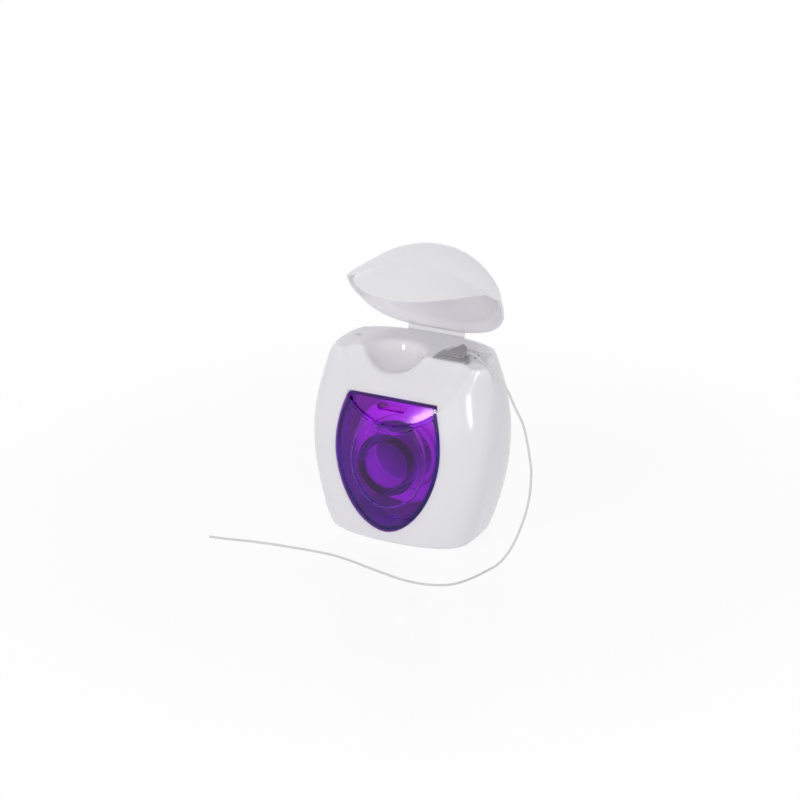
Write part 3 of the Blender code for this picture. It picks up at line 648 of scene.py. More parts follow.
def cut(target, tool):
    """Take the tool's space out of the target."""
    change = target.modifiers.new(tool.name, "BOOLEAN")
    change.operation = "DIFFERENCE"
    change.solver = "EXACT"
    change.use_hole_tolerant = True
    change.object = tool


def prism(name, outline, axis, low, high):
    """An outline on the two other axes, run along one axis between two places."""
    outline = np.asarray(outline, float)
    ends = [np.insert(outline, "XYZ".index(axis), place, axis=1) for place in (low, high)]
    count = len(outline)
    here = np.arange(count)
    sides = np.stack([here, (here + 1) % count, count + (here + 1) % count, count + here], -1).tolist()
    return joined_patches(name, [(np.vstack(ends), [list(here), list(here + count), *sides])], white_material)


FOOT_HEIGHT = 0.006


def above_foot(place):
    """Whether a place is above the foot, which keeps its own rounding."""
    return place.z > FOOT_HEIGHT


def soften(piece, rounds, chosen=above_foot):
    """Each inner point of a chosen region moves half-way to the middle of its neighbours, again and again, so
    creases become small radii, as in a mould that has been polished."""
    form = bmesh.new()
    form.from_mesh(piece.data)
    inner = [point for point in form.verts if not point.is_boundary and chosen(point.co)]
    axes = {"use_axis_x": True, "use_axis_y": True, "use_axis_z": True}
    for _ in range(rounds):
        bmesh.ops.smooth_vert(form, verts=inner, factor=0.5, **axes)
    form.to_mesh(piece.data)
    form.free()


def report(piece):
    """Print a piece's size and how many edges don't have two faces."""
    form = bmesh.new()
    form.from_mesh(piece.data)
    loose = sum(1 for edge in form.edges if len(edge.link_faces) != 2)
    count = sum(len(face.verts) - 2 for face in form.faces)
    form.free()
    size = [round(value * 1000, 1) for value in piece.dimensions]
    print(piece.name, "is", size, "mm with", count, "triangles and", loose, "open edges")


# %% [markdown]
# The lid is modelled shut, where the egg gives its shape, and then turned open about the hinge. Each
# column of its grid starts at the parting line, on the arc in front and level with the rim elsewhere, and
# runs up to the crown. The inner skin is the same grid on a smaller egg, kept in front of the neck.

# %% The lid
LID_ANGLE = math.radians(60.9)
LID_WALL = 0.0013
HINGE_AXIS = Vector((0, 0.01395, 0.05015))
LID_COLUMNS = 260
LID_ROWS = 84
# The lip's thickness at the two tips, and how much more it has away from them.
LIP_AT_TIPS = 0.00034
LIP_MORE = 0.00030
# The inner skin is kept in front of the neck, less and less upwards and towards the sides.
SKIN_CLEARANCE = 0.00015
SKIN_LEAN = 1.2
SKIN_SIDE = 0.006
SKIN_THINNEST = 0.00025


def lid_edge(turn):
    """The height where the lid begins: on the arc in front, found by halving, and at the rim elsewhere."""
    low = np.full(turn.shape, CASE_HEIGHT - ARC_DROP + PART_GAP)
    high = np.full(turn.shape, CASE_HEIGHT)
    inside = (np.abs(turn) < 1) & (np.abs(egg(turn, CASE_HEIGHT)[..., 0]) < ARC_HALF_WIDTH - PART_GAP)
    for _ in range(HALVINGS):
        middle = (low + high) / 2
        beyond = np.abs(egg(turn, middle)[..., 0]) > arc_x(middle, PART_GAP)
        low, high = np.where(beyond, middle, low), np.where(beyond, high, middle)
    return np.where(inside, high, CASE_HEIGHT + PART_GAP)


def opened(points):
    """Points of the shut lid, turned open about the hinge's axis."""
    back, up = points[..., 1] - HINGE_AXIS.y, points[..., 2] - HINGE_AXIS.z
    cosine, sine = math.cos(LID_ANGLE), math.sin(LID_ANGLE)
    y = HINGE_AXIS.y + back * cosine + up * sine
    return np.stack([points[..., 0], y, HINGE_AXIS.z - back * sine + up * cosine], -1)


def lid_wall(turn, share, corner):
    """Thin at the lip, thinner still at the two tips, and full a little way in."""
    lip = LIP_AT_TIPS + LIP_MORE * eased(np.abs(np.abs(turn) - corner) / 0.30)
    return lip + (LID_WALL - lip) * eased(share / 0.14)


def lid_skin(inset):
    """Rows from the parting line to the crown: height = edge + (crown - edge) * sin(share * quarter turn).

    The columns in front are closer together towards the tips, where the arc is steep.
    """
    corner = turn_at(ARC_HALF_WIDTH - PART_GAP, CASE_HEIGHT)
    across = np.linspace(-1, 1, LID_COLUMNS // 4 * 2 + 1)
    front = corner * np.sign(across) * (1 - (1 - np.abs(across)) ** ARC_POWER)
    rest = np.linspace(corner, 4 - corner, LID_COLUMNS - len(front) + 2)[1:-1]
    turn = np.concatenate([front, np.where(rest > 2, rest - 4, rest)])
    edge = lid_edge(turn)
    crown = CASE_HEIGHT + DOME_HEIGHT - inset
    share = np.concatenate([[0, 0.006], np.linspace(0.02, 1, LID_ROWS)[:-1]])[:, None]
    height = edge + (crown - edge) * np.sin(0.5 * np.pi * share)
    turn = np.broadcast_to(turn, height.shape)
    points = dipped_egg(turn, height, lid_wall(turn, share, corner) if inset else 0)
    if inset:
        above = np.clip(height - CASE_HEIGHT, 0, None)
        beyond = np.clip(np.abs(turn) - corner, 0, None) / (1 - corner)
        limit = neck_y(np.minimum(height, CASE_HEIGHT)) - PART_GAP
        limit = limit + SKIN_LEAN * above + SKIN_SIDE * beyond - SKIN_CLEARANCE
        outside = dipped_egg(turn, height)[..., 1] + SKIN_THINNEST
        kept = np.maximum(np.minimum(points[..., 1], limit), outside)
        points[..., 1] = np.where(np.abs(turn) < 1, kept, points[..., 1])
    pole = np.array([[0, -RIM_SHIFT, crown]])
    return opened(points), opened(pole)


def crowned(points, start):
    """Faces of a closed-round grid that ends in a pole, as indices from start."""
    rows, columns = points.shape[:2]
    faces = grid_faces(rows, columns, around=True, offset=start)
    return faces + fan(start + (rows - 1) * columns, columns, start + rows * columns)


def make_lid():
    """The outer and the inner skin, joined round the edge by a strip."""
    outer, outer_pole = lid_skin(0)
    inner, inner_pole = lid_skin(LID_WALL)
    start = outer[..., 0].size + 1
    points = np.vstack([outer.reshape(-1, 3), outer_pole, inner.reshape(-1, 3), inner_pole])
    edge = outer[0] + (inner[0] - outer[0]) * np.array([0, 0.15, 0.85, 1])[:, None, None]
    strip = patch(np.concatenate([edge, edge[:, :1]], axis=1))
    faces = crowned(outer, 0) + crowned(inner, start)
    made = joined_patches("lid_shell", [(points, faces), strip], white_material, 0.000001)
    return make_real(made, 80)


lid = make_lid()
report(lid)
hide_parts("lid")
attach(lid, "lid")

# %% [markdown]
# The case's front has a hole with a winding outline, so its grid is ruled between two lines: the window's
# outline and the arc on the inside, the base and the side on the outside. Both lines are given in the egg's
# own parameters, so every point between them lies on the egg. The back is a plain grid.

# %% The case's outside
CASE_WALL = 0.0015
BASE_ROUND = 0.0012
BASE_COLUMNS = 44
SIDE_ROWS = 60
NECK_ROWS = 34
FRONT_ROWS = 30
SHOULDER_COLUMNS = 36
DECK_ROWS = 63
side_heights = np.append(np.linspace(BASE_ROUND, CASE_HEIGHT - 0.00025, SIDE_ROWS), CASE_HEIGHT)
near_ends = np.array([0, 0.015, *np.linspace(0.04, 0.96, FRONT_ROWS - 3), 0.985, 1])


def neck_heights(low):
    """Heights from a lowest one up to the deck, closer together towards the deck."""
    share = 1 - (1 - np.linspace(0, 1, NECK_ROWS + 1)) ** 1.5
    share = share.reshape(-1, *([1] * np.ndim(low)))
    return low + (CASE_HEIGHT - low) * share


def front_patch(side):
    """Half of the front: point = egg(inner + (outer - inner) * share)."""
    x, z = window_run(side, BASE_COLUMNS + SIDE_ROWS - NECK_ROWS)
    arc_heights = neck_heights(z[-1])[1:]
    x = np.concatenate([x, side * arc_x(arc_heights)])
    z = np.concatenate([z, arc_heights])
    x[-1] = side * ARC_HALF_WIDTH
    turn = turn_at(x, z)
    base = side * np.linspace(0, 1, BASE_COLUMNS + 1)
    outer_turn = np.concatenate([base, np.full(SIDE_ROWS, float(side))])
    outer_z = np.concatenate([np.full(BASE_COLUMNS + 1, BASE_ROUND), side_heights[1:]])
    share = near_ends[:, None]
    return dipped_egg(turn + (outer_turn - turn) * share, z + (outer_z - z) * share)


def panel_columns():
    """Where the neck's columns stand: a place across, as a share of the arc's width, and a lowest height."""
    shares, lows = [], []
    for side in (-1, 1):
        heights = np.linspace(crossing_z(side), WINDOW_TOP_Z, 9)
        across = (WINDOW_X + side * window_side(heights)) / arc_x(heights)
        across[0] = side
        shares.append(np.insert(across, 1, 0.85 * across[0] + 0.15 * across[1]))
        lows.append(np.insert(heights, 1, 0.85 * heights[0] + 0.15 * heights[1]))
    middle = np.linspace(shares[0][-1], shares[1][-1], 121)[1:-1]
    across = np.concatenate([shares[0], middle, shares[1][::-1]])
    low = np.concatenate([lows[0], np.full(len(middle), WINDOW_TOP_Z), lows[1][::-1]])
    return across, low


panel_across, panel_low = panel_columns()
rear_turns = rear_turn_at(ARC_HALF_WIDTH * panel_across[::-1], CASE_HEIGHT)
rear_turns = np.where(panel_across[::-1] < 0, 4 - rear_turns, rear_turns)
right_shoulder = np.linspace(1, rear_turns[0], SHOULDER_COLUMNS + 1)[:-1]
left_shoulder = np.linspace(rear_turns[-1], 3, SHOULDER_COLUMNS + 1)[1:]
rear_turns = np.concatenate([right_shoulder, rear_turns, left_shoulder])
rear_turns = np.where(rear_turns > 2, rear_turns - 4, rear_turns)
rear_points = dipped_egg(rear_turns[None], side_heights[:, None])


def foot_rings():
    """The rounded foot: rings that step down and inwards on a quarter circle, all the way round."""
    base = np.linspace(-1, 1, 2 * BASE_COLUMNS + 1)
    turn = np.concatenate([base, rear_turns[1:-1]])
    angle = np.linspace(0, 0.5 * np.pi, 6)[::-1]
    steps = zip(BASE_ROUND * (1 - np.sin(angle)), BASE_ROUND * (1 - np.cos(angle)))
    return np.array([egg(turn, height, inset) for height, inset in steps])


print("columns of the neck", len(panel_across), "and of the back", len(rear_turns))

# %% [markdown]
# The neck and the deck are one sheet, bent over a rounded edge. The finger bowl is pressed into it: each
# point inside an ellipsoid moves down and back until it lies on the ellipsoid, and the move starts gently,
# which gives the bowl its soft lip.

# %% The neck, the deck and the finger bowl
EDGE_RADIUS = 0.0010
# The neck's slope at its top edge is measured over this height.
EDGE_PROBE = 0.0005
BOWL_SIZE = np.array([0.0098, 0.0092, 0.0078])
BOWL_X = -0.0036
BOWL_RAISE = 0.0020
BOWL_LIP = 0.0021
BOWL_PUSH = math.radians(25)
NECK_LEAN = math.radians(60)
deck_edge = float(neck_y(CASE_HEIGHT))


def rounded_edge(points, place, amount):
    """Moves points near the neck's top edge onto an arc of a circle that touches the neck and the deck."""
    run = deck_edge - float(neck_y(CASE_HEIGHT - EDGE_PROBE))
    bend = math.atan2(EDGE_PROBE, run)
    reach = EDGE_RADIUS * math.tan(bend / 2)
    share = np.clip((place + reach) / (2 * reach), 0, 1)
    angle = bend * (1 - share)
    y = deck_edge + reach - EDGE_RADIUS * np.sin(angle)
    z = CASE_HEIGHT - EDGE_RADIUS + EDGE_RADIUS * np.cos(angle)
    near = np.where(np.abs(place) < reach, amount, 0)
    points[..., 1] += near * (y - points[..., 1])
    points[..., 2] += near * (z - points[..., 2])


def pressed_bowl(points):
    """Moves points inside the bowl's ellipsoid along one direction towards its far side: softly at its lip,
    and fully only where the sheet is deep inside it."""
    centre = np.array([BOWL_X, deck_edge - 0.0001, CASE_HEIGHT + BOWL_RAISE])
    push = np.array([0, math.sin(BOWL_PUSH), -math.cos(BOWL_PUSH)])
    offset, step = (points - centre) / BOWL_SIZE, push / BOWL_SIZE
    size = np.linalg.norm(offset, axis=-1)
    dot = offset @ step
    root = np.sqrt(np.maximum(dot**2 - (step @ step) * (size**2 - 1), 0))
    travel = np.where(size < 1, (root - dot) / (step @ step), 0)
    lip = BOWL_LIP * (1 + 0.9 * np.clip(offset[..., 0] + 0.2, 0, 1))
    return points + (travel * eased((1 - size) * BOWL_SIZE.mean() / lip))[..., None] * push


def panel_points():
    """Neck rows from the window's top to the edge, then deck rows from the edge to the back of the rim."""
    height = neck_heights(panel_low)
    neck = np.stack([panel_across * arc_x(height), neck_y(height), height], -1)
    rim_x = ARC_HALF_WIDTH * panel_across
    neck[-1, :, 0] = rim_x
    share = np.append(0.988 * np.linspace(0, 1, DECK_ROWS)[1:] ** 1.4, 1)[:, None]
    x = np.broadcast_to(rim_x, (DECK_ROWS, len(rim_x)))
    back = egg(rear_turn_at(rim_x, CASE_HEIGHT), CASE_HEIGHT)[..., 1]
    deck = np.stack([x, deck_edge + (back - deck_edge) * share, np.full(x.shape, CASE_HEIGHT)], -1)
    place = np.vstack([(height - CASE_HEIGHT) / math.sin(NECK_LEAN), deck[..., 1] - deck_edge])
    points = np.vstack([neck, deck])
    rounded_edge(points, place, eased((1 - np.abs(panel_across)) / 0.07))
    fade = 1 - eased((points[..., 1] - deck_edge) / DIP_BEHIND)
    points[..., 2] -= dip_inside(points[..., 0]) * dip_share(points[..., 2]) * fade
    return pressed_bowl(points)


def between(first, second, shares):
    """Rows that lead from one line of points to another."""
    return first + (second - first) * np.array(shares)[:, None, None]


def ledge_patch(front, panel, side):
    """The strip behind the arc: from the egg's face back to the neck's end column."""
    start = BASE_COLUMNS + SIDE_ROWS - NECK_ROWS
    column = -1 if side > 0 else 0
    return between(front[0, start:], panel[: NECK_ROWS + 1, column], (0, 0.25, 0.75, 1))


def shoulder_patch(front, ledge, panel, side):
    """The end of the deck on one side: a lens between the deck's last column and the rim."""
    column = -1 if side > 0 else 0
    inner = np.vstack([ledge[:, -1], panel[NECK_ROWS + 1 :, column]])
    rim = rear_points[-1, ::side]
    outer = np.vstack([front[:, -1], rim[1 : SHOULDER_COLUMNS + 1]])
    return between(inner, outer, (0, 0.12, 0.24, 0.36, 0.48, 0.60, 0.72, 0.82, 0.90, 0.955, 1))


def left_end(place):
    """Whether a place is at the left end of the deck, in front, or a little below it."""
    return place.x < -0.0135 and place.y < -0.001 and place.z > 0.042


def make_case_shell():
    """All patches of the outside, joined and given a wall. Its rows stand close beside each edge, so that
    smooth shading rolls over the edge as over a small radius."""
    panel = panel_points()
    foot = foot_rings()
    base = np.arange(foot.shape[1])[::-1].tolist()
    patches = [patch(rear_points), patch(panel), patch(foot, around=True), (foot[0], [base])]
    for side in (-1, 1):
        front = front_patch(side)
        ledge = ledge_patch(front, panel, side)
        patches += [patch(front), patch(ledge), patch(shoulder_patch(front, ledge, panel, side))]
    shell = joined_patches("case_shell", patches, white_material)
    soften(shell, 36)
    soften(shell, 50, left_end)
    report(shell)
    add_wall(shell, CASE_WALL)
    return make_real(shell, 100)


case = make_case_shell()
report(case)

# %% [markdown]
# The deck has a shallow pocket for the cutter, two slots that go right through, and a small round dimple.
# They are clean tool marks with straight sides, so they are cut out of the finished shell with prisms.

# %% Cuts in the deck
PLATE_FRONT_Y = deck_edge + PART_GAP
PLATE_LEFT = 0.00755
PLATE_RIGHT = 0.01665
PLATE_SHEET = 0.00025
POCKET_RIGHT = 0.0202
POCKET_BACK_Y = 0.0060
POCKET_CORNER = 0.0012
POCKET_DEPTH = 0.0007
DIMPLE_PLACE = (-0.0176, 0.0024)
DIMPLE_RADIUS = 0.00075
DIMPLE_DEPTH = 0.0010
# Each slot is given as its corner's x and y, its width and its length.
EXIT_SLOT = (0.0138, PLATE_FRONT_Y + 0.0024, 0.0013, 0.0046)
SIDE_SLOT = (0.01635, 0.0011, 0.0007, 0.0036)
SLOT_ROUND = 0.0003


def rounded_outline(corners, radius, steps=5):
    """A polygon with its corners replaced by parabolic arcs that start and end a radius away."""
    corners = np.asarray(corners, float)
    before, after = np.roll(corners, 1, axis=0), np.roll(corners, -1, axis=0)
    start = corners + (before - corners) * (radius / np.linalg.norm(before - corners, axis=1))[:, None]
    end = corners + (after - corners) * (radius / np.linalg.norm(after - corners, axis=1))[:, None]
    start, middle, end = (places[:, None] for places in (start, corners, end))
    share = np.linspace(0, 1, steps)[None, :, None]
    arc = start * (1 - share) ** 2 + 2 * middle * share * (1 - share) + end * share**2
    return arc.reshape(-1, 2)


def box_outline(x, y, width, length):
    """The four corners of a slot."""
    return [(x, y), (x + width, y), (x + width, y + length), (x, y + length)]


def cut_down(target, name, outline, depth):
    """Cut an outline into the deck, down to a depth."""
    cut(target, prism(name, outline, "Z", CASE_HEIGHT - depth, CASE_HEIGHT + 0.002))


def cut_deck(target):
    """The cutter's pocket, the exit slot, the side slot and the dimple."""
    left, right = PLATE_LEFT - PART_GAP, PLATE_RIGHT + PART_GAP
    front, step = PLATE_FRONT_Y + 0.0006, PLATE_FRONT_Y + 0.00105
    far = POCKET_RIGHT - POCKET_CORNER
    pocket = [
        (left, front),
        (right, front),
        (right, step),
        (far, step),
        (POCKET_RIGHT, step + POCKET_CORNER),
        (POCKET_RIGHT, POCKET_BACK_Y - POCKET_CORNER),
        (far, POCKET_BACK_Y),
        (left + POCKET_CORNER, POCKET_BACK_Y),
        (left, PLATE_FRONT_Y + 0.0065),
    ]
    turn = np.linspace(0, 2 * np.pi, 32, endpoint=False)
    dimple = np.stack([np.cos(turn), np.sin(turn)], -1) * DIMPLE_RADIUS + DIMPLE_PLACE
    ledge = box_outline(left, PLATE_FRONT_Y - 0.004, right - left, 0.0052)
    cut_down(target, "pocket", rounded_outline(pocket, SLOT_ROUND), POCKET_DEPTH)
    cut_down(target, "pocket_ledge", ledge, PLATE_SHEET + 0.00003)
    cut_down(target, "dimple", dimple, DIMPLE_DEPTH)
    for name, slot in (("exit_slot", EXIT_SLOT), ("side_slot", SIDE_SLOT)):
        cut_down(target, name, rounded_outline(box_outline(*slot), SLOT_ROUND), 0.004)
    return make_real(target, 50)


GUIDE_GAP = 0.00004
GUIDE_WALL = 0.0005
GUIDE_TOP_Z = CASE_HEIGHT - 0.0014
GUIDE_LOW_Z = CASE_HEIGHT - 0.0075


def grown_outline(slot, margin, radius):
    """A slot's outline, made larger all round."""
    x, y, width, length = slot
    larger = box_outline(x - margin, y - margin, width + 2 * margin, length + 2 * margin)
    return rounded_outline(larger, radius)


def slot_guide(slot):
    """A short chimney under the deck round a slot: four outlines, outside up and inside down, closed."""
    inner = grown_outline(slot, GUIDE_GAP, SLOT_ROUND)
    outer = grown_outline(slot, GUIDE_WALL, 2 * SLOT_ROUND)
    heights = (GUIDE_LOW_Z, GUIDE_TOP_Z, GUIDE_TOP_Z, GUIDE_LOW_Z)
    lines = zip((outer, outer, inner, inner), heights)
    rows = np.array([np.insert(line, 2, z, axis=1) for line, z in lines])
    return make_real(joined_patches("slot_guide", [closed_ring(rows)], white_material), 50)


cut_deck(case)
joined(case, *map(slot_guide, (EXIT_SLOT, SIDE_SLOT)))
report(case)
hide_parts("case_body")
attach(case, "case")

# %% [markdown]
# The insert is clear purple styrene. Light goes through it and is taken up on its way, so thin places look
# bright and long ways through it, such as along an edge wall, look nearly black. Glass with a volume that
# absorbs gives exactly that. This purple takes up green most, and red a little more than blue. The cutter
# and the tube inside get their finishes here too.

# %% Finishes of the insert, the cutter and the tube
def purple_finish(name, colour, density):
    """Clear plastic: a smooth clear skin over a volume that takes up light along its way. A lamp's light
    goes straight through it and comes out tinted, so that what lies behind it isn't in the dark."""
    clear = {"Base Color": (1, 1, 1, 1), "Transmission Weight": 1.0, "IOR": 1.46}
    material, nodes, links = new_material(name, clear | {"Specular Tint": (0.88, 0.76, 1.0, 1)})
    vary_roughness(nodes, links, add_noise(nodes, links, 120, 3).outputs["Fac"], 0.03, 0.10)
    output = nodes["Material Output"]
    volume = add_node(nodes, "VolumeAbsorption", {"Color": (*colour, 1), "Density": density})
    links.new(volume.outputs["Volume"], output.inputs["Volume"])
    shadow = nodes.new("ShaderNodeLightPath").outputs["Is Shadow Ray"]
    tinted = add_node(nodes, "BsdfTransparent", {"Color": (0.80, 0.31, 0.89, 1)})
    skin = nodes["Principled BSDF"].outputs["BSDF"]
    links.new(mixed(nodes, links, shadow, skin, tinted.outputs["BSDF"]), output.inputs["Surface"])
    return material


purple_material = purple_finish("clear_purple_face", (0.872, 0.02, 0.970), 2600.0)
post_material = purple_finish("clear_purple_post", (0.80, 0.02, 0.96), 120.0)


def steel_finish():
    """Stamped spring steel: dark, satin, with fine lines along its rolling direction."""
    steel = {"Metallic": 1.0, "Base Color": (0.46, 0.455, 0.47, 1)}
    material, nodes, links = new_material("cutter_steel_satin", steel)
    lines = add_noise(nodes, links, 900, 4)
    spread = add_node(nodes, "Mapping", {"Scale": (0.06, 1.0, 1.0)})
    links.new(nodes["Texture Coordinate"].outputs["Object"], spread.inputs["Vector"])
    links.new(spread.outputs["Vector"], lines.inputs["Vector"])
    vary_roughness(nodes, links, lines.outputs["Fac"], 0.26, 0.44)
    add_bump(nodes, links, lines.outputs["Fac"], 0.18, 0.00003)
    return material


steel_material = steel_finish()


def core_finish():
    """Plain off-white moulded tube, a little rough."""
    material, nodes, links = new_material("core_moulding_plain", {"Base Color": (0.82, 0.82, 0.83, 1)})
    grain = add_noise(nodes, links, 700, 4)
    vary_roughness(nodes, links, grain.outputs["Fac"], 0.42, 0.60)
    add_bump(nodes, links, grain.outputs["Fac"], 0.12, 0.00004)
    return material


core_material = core_finish()
print("made", purple_material.name, steel_material.name, core_material.name)

# %% [markdown]
# The insert is a thin cup: a clear face that fills the window, with walls that run back inside the case. Its
# face carries a raised pad, and above the lid's parting line it steps back to the neck's level. All of that
# is one grid in polar form. Its lines run out from the pad's middle, and its rows follow the pad's edge, the
# parting line and the window's outline, so each crease lies on a row. Past the outline the rows turn back
# along the wall, and then return on the inside to the middle again, which closes the shape.

# %% The insert's outlines in polar form
PAD_HALF_WIDTH = 0.01035
PAD_HALF_HEIGHT = 0.0125
PAD_CENTRE_Z = 0.0238
PAD_RISE = 0.0008
PAD_SLOPE = 0.0009
INSERT_WALL = 0.0013
INSERT_BACK_Y = -0.0088
INSERT_GAP = 0.00014
INSERT_ROUND = 0.00022
INSERT_LINES = 360
# Farther out than this the arc's angle turns back, and the window has ended by then.
ARC_REACH = 0.0143
# The face steps back this far outside the parting line's arc, so that the shut lid has room.
ARC_INSET = -0.00015


def window_loop(inset):
    """The window's outline as a closed loop of (x, z) pairs from the bottom, round by the right."""
    loop = []
    for side in (1, -1):
        x_low, z_low = window_below(np.linspace(0, 1, 400), inset)
        heights = np.linspace(WINDOW_WIDEST_Z, WINDOW_TOP_Z - inset, 300)[1:]
        x = np.concatenate([x_low, window_side(heights, inset)])
        loop.append(np.stack([WINDOW_X + side * x, np.concatenate([z_low, heights])], -1))
    top = np.linspace(loop[0][-1], loop[1][-1], 200)[1:-1]
    return np.vstack([loop[0], top, loop[1][::-1][:-1]])


def polar_radius(loop, angles):
    """How far the loop lies from the pad's middle at each angle, counted from straight down to the right."""
    x, z = loop[:, 0], loop[:, 1] - PAD_CENTRE_Z
    angle = np.unwrap(np.arctan2(x, -z))
    order = np.argsort(angle)
    angle, radius = angle[order], np.hypot(x, z)[order]
    angle = np.concatenate([angle - 2 * np.pi, angle, angle + 2 * np.pi])
    return 1 / np.interp(angles, angle, np.tile(1 / radius, 3))


def arc_radius(angles, clearance):
    """How far the parting line's arc lies at each angle. Where the arc isn't met it is given as very far."""
    x = np.linspace(-ARC_REACH, ARC_REACH, 1200)
    z = arc_z(x, clearance) - PAD_CENTRE_Z
    angle = np.arctan2(x, -z) % (2 * np.pi)
    return np.interp(angles % (2 * np.pi), angle[::-1], np.hypot(x, z)[::-1], left=1.0, right=1.0)


def insert_lines():
    """The angles of the lines, with the two top corners and the two places where outline and arc cross.

    Two lines lie close together at each crossing, so the step ends in a short steep wall there.
    """
    top = WINDOW_TOP_Z - INSERT_GAP
    corners = [WINDOW_X + side * window_side(top, INSERT_GAP) for side in (1, -1)]
    marks = [math.atan2(x, PAD_CENTRE_Z - top) % (2 * math.pi) for x in corners]
    fine = np.linspace(0.6, 1.4, 20001) * math.pi
    stepped = arc_radius(fine, ARC_INSET) < polar_radius(window_loop(INSERT_GAP), fine)
    first, last = fine[stepped][[0, -1]]
    marks += [first - 0.0001, first + 0.0015, last - 0.0015, last + 0.0001]
    print("the step runs from", round(math.degrees(first), 1), "to", round(math.degrees(last), 1), "degrees")
    marks = np.sort([0, *marks, 2 * math.pi])
    counts = [max(int(round(INSERT_LINES * span / (2 * np.pi))), 3) for span in np.diff(marks)]
    runs = zip(marks[:-1], marks[1:], counts)
    return np.concatenate([np.linspace(start, end, count, endpoint=False) for start, end, count in runs])


insert_angles = insert_lines()
print("the insert has", len(insert_angles), "lines")


# %% The insert's face
FACET_BOW = 0.0004
FACET_BEHIND = 0.0001
FACE_BEHIND = 0.00005
PAD_TO_ARC = 0.0012
SLOPE_TO_ARC = 0.0008
STEP_RUN = 0.00012


def pad_radius(angles):
    """The pad's edge: an ellipse, kept a little under the parting line's arc."""
    across, along = np.sin(angles) / PAD_HALF_WIDTH, np.cos(angles) / PAD_HALF_HEIGHT
    return np.minimum(1 / np.hypot(across, along), arc_radius(angles, -PAD_TO_ARC))


def face_y(x, z, above):
    """The face: on the egg below the parting line, and on a slightly bowed neck above it."""
    bow = FACET_BOW * ((x - WINDOW_X) / WINDOW_HALF_WIDTH) ** 2
    return np.where(above, neck_y(z) + FACET_BEHIND + bow, front_y(x, z) + FACE_BEHIND)


def insert_rows(inset, depth):
    """Rows of the face from the middle out to an outline, moved back by a depth."""
    outline = polar_radius(window_loop(INSERT_GAP + inset), insert_angles)
    arc = np.minimum(arc_radius(insert_angles, ARC_INSET - inset), outline)
    pad = np.minimum(pad_radius(insert_angles), arc - SLOPE_TO_ARC)
    top, foot = pad - PAD_SLOPE / 2, pad + PAD_SLOPE / 2
    beyond = np.minimum(arc + STEP_RUN, outline)
    low = [top * share for share in np.linspace(0.04, 1, 22)]
    low += [top + PAD_SLOPE * share for share in np.linspace(0, 1, 9)[1:]]
    low += [foot + (arc - foot) * share for share in np.linspace(0, 1, 14)[1:]]
    high = [beyond + (outline - beyond) * share for share in np.linspace(0, 1, 12)]
    radius = np.array(low + high)
    x = radius * np.sin(insert_angles)
    z = PAD_CENTRE_Z - radius * np.cos(insert_angles)
    above = (np.arange(len(radius))[:, None] >= len(low)) & (arc < outline - 0.000001)
    rise = PAD_RISE * (1 - eased((radius - pad + PAD_SLOPE / 2) / PAD_SLOPE))
    return np.stack([x, face_y(x, z, above) - rise + depth, z], -1)


def make_insert_cup():
    """The front rows, a rounded edge, the wall out and back, and the inner rows down to the middle again."""
    front = insert_rows(0, 0)
    back = insert_rows(INSERT_WALL, INSERT_WALL)
    outward = front[-1] - front[-2]
    outward[:, 1] = 0
    outward /= np.maximum(np.linalg.norm(outward, axis=1, keepdims=True), 1e-9)
    edge = []
    for angle in np.linspace(0, 0.5 * np.pi, 4):
        ring = front[-1] - INSERT_ROUND * (1 - math.sin(angle)) * outward
        ring[:, 1] += INSERT_ROUND * (1 - math.cos(angle))
        edge.append(ring)
    outer_end, inner_end = front[-1].copy(), back[-1].copy()
    outer_end[:, 1] = INSERT_BACK_Y
    inner_end[:, 1] = INSERT_BACK_Y
    share = np.linspace(0, 1, 7)
    wall = [edge[-1] + (outer_end - edge[-1]) * part for part in share[1:]]
    inner = [inner_end + (back[-1] - inner_end) * part for part in share[:-1]]
    rows = np.array([*front[:-1], *edge, *wall, *inner, *back[::-1]])
    count = len(insert_angles)
    tip = len(rows) * count
    faces = grid_faces(len(rows), count, around=True)
    faces += fan(0, count, tip, flip=True) + fan(tip - count, count, tip + 1)
    points = np.vstack([rows.reshape(-1, 3), rows[0].mean(0), rows[-1].mean(0)])
    return joined_patches("insert_clear", [(points, faces)], purple_material, 0.000006)


# %% [markdown]
# Behind the pad the insert carries a hollow post for the spool. Seen end-on it shows as the dark ring. It is
# so long that the face's purple would make it black, and the real one isn't, because light also reaches it
# from its sides. So its volume takes up less light.

# %% The post and the catch slot
POST_RADIUS = 0.0084
POST_BORE = 0.0061
POST_END_Y = 0.0118
POST_AXIS_Z = 0.0228
POST_ROUND = 0.0003
POST_BEHIND = 0.00008
CATCH_BELOW_TOP = 0.0023
CATCH_HALF_LENGTH = 0.0033
CATCH_RADIUS = 0.0009
CATCH_DEPTH = 0.00055


def ring_rows(profile, sides, axis_z):
    """(radius, y) pairs turned about an axis along Y: x = radius * sin(turn), z = radius * cos(turn)."""
    turn = np.linspace(0, 2 * np.pi, sides, endpoint=False)
    radius, y = np.asarray(profile, float).T
    x = radius[:, None] * np.sin(turn)
    z = axis_z + radius[:, None] * np.cos(turn)
    return np.stack([x, np.broadcast_to(y[:, None], x.shape), z], -1)


def make_post():
    """A tube whose front end follows the back of the face, a hair behind it."""
    outer, inner, end, small = POST_RADIUS, POST_BORE, POST_END_Y, POST_ROUND
    outside = [(outer, 0), (outer, 0.001), (outer, 0.0065), (outer, end - small), (outer - small, end)]
    inside = [(inner + small, end), (inner, end - small), (inner, 0.001), (inner, 0)]
    rows = ring_rows(outside + inside, 120, POST_AXIS_Z)
    for row in (rows[0], rows[-1]):
        row[:, 1] = front_y(row[:, 0], row[:, 2]) - PAD_RISE + INSERT_WALL + POST_BEHIND
    return joined_patches("insert_post", [closed_ring(rows)], post_material)


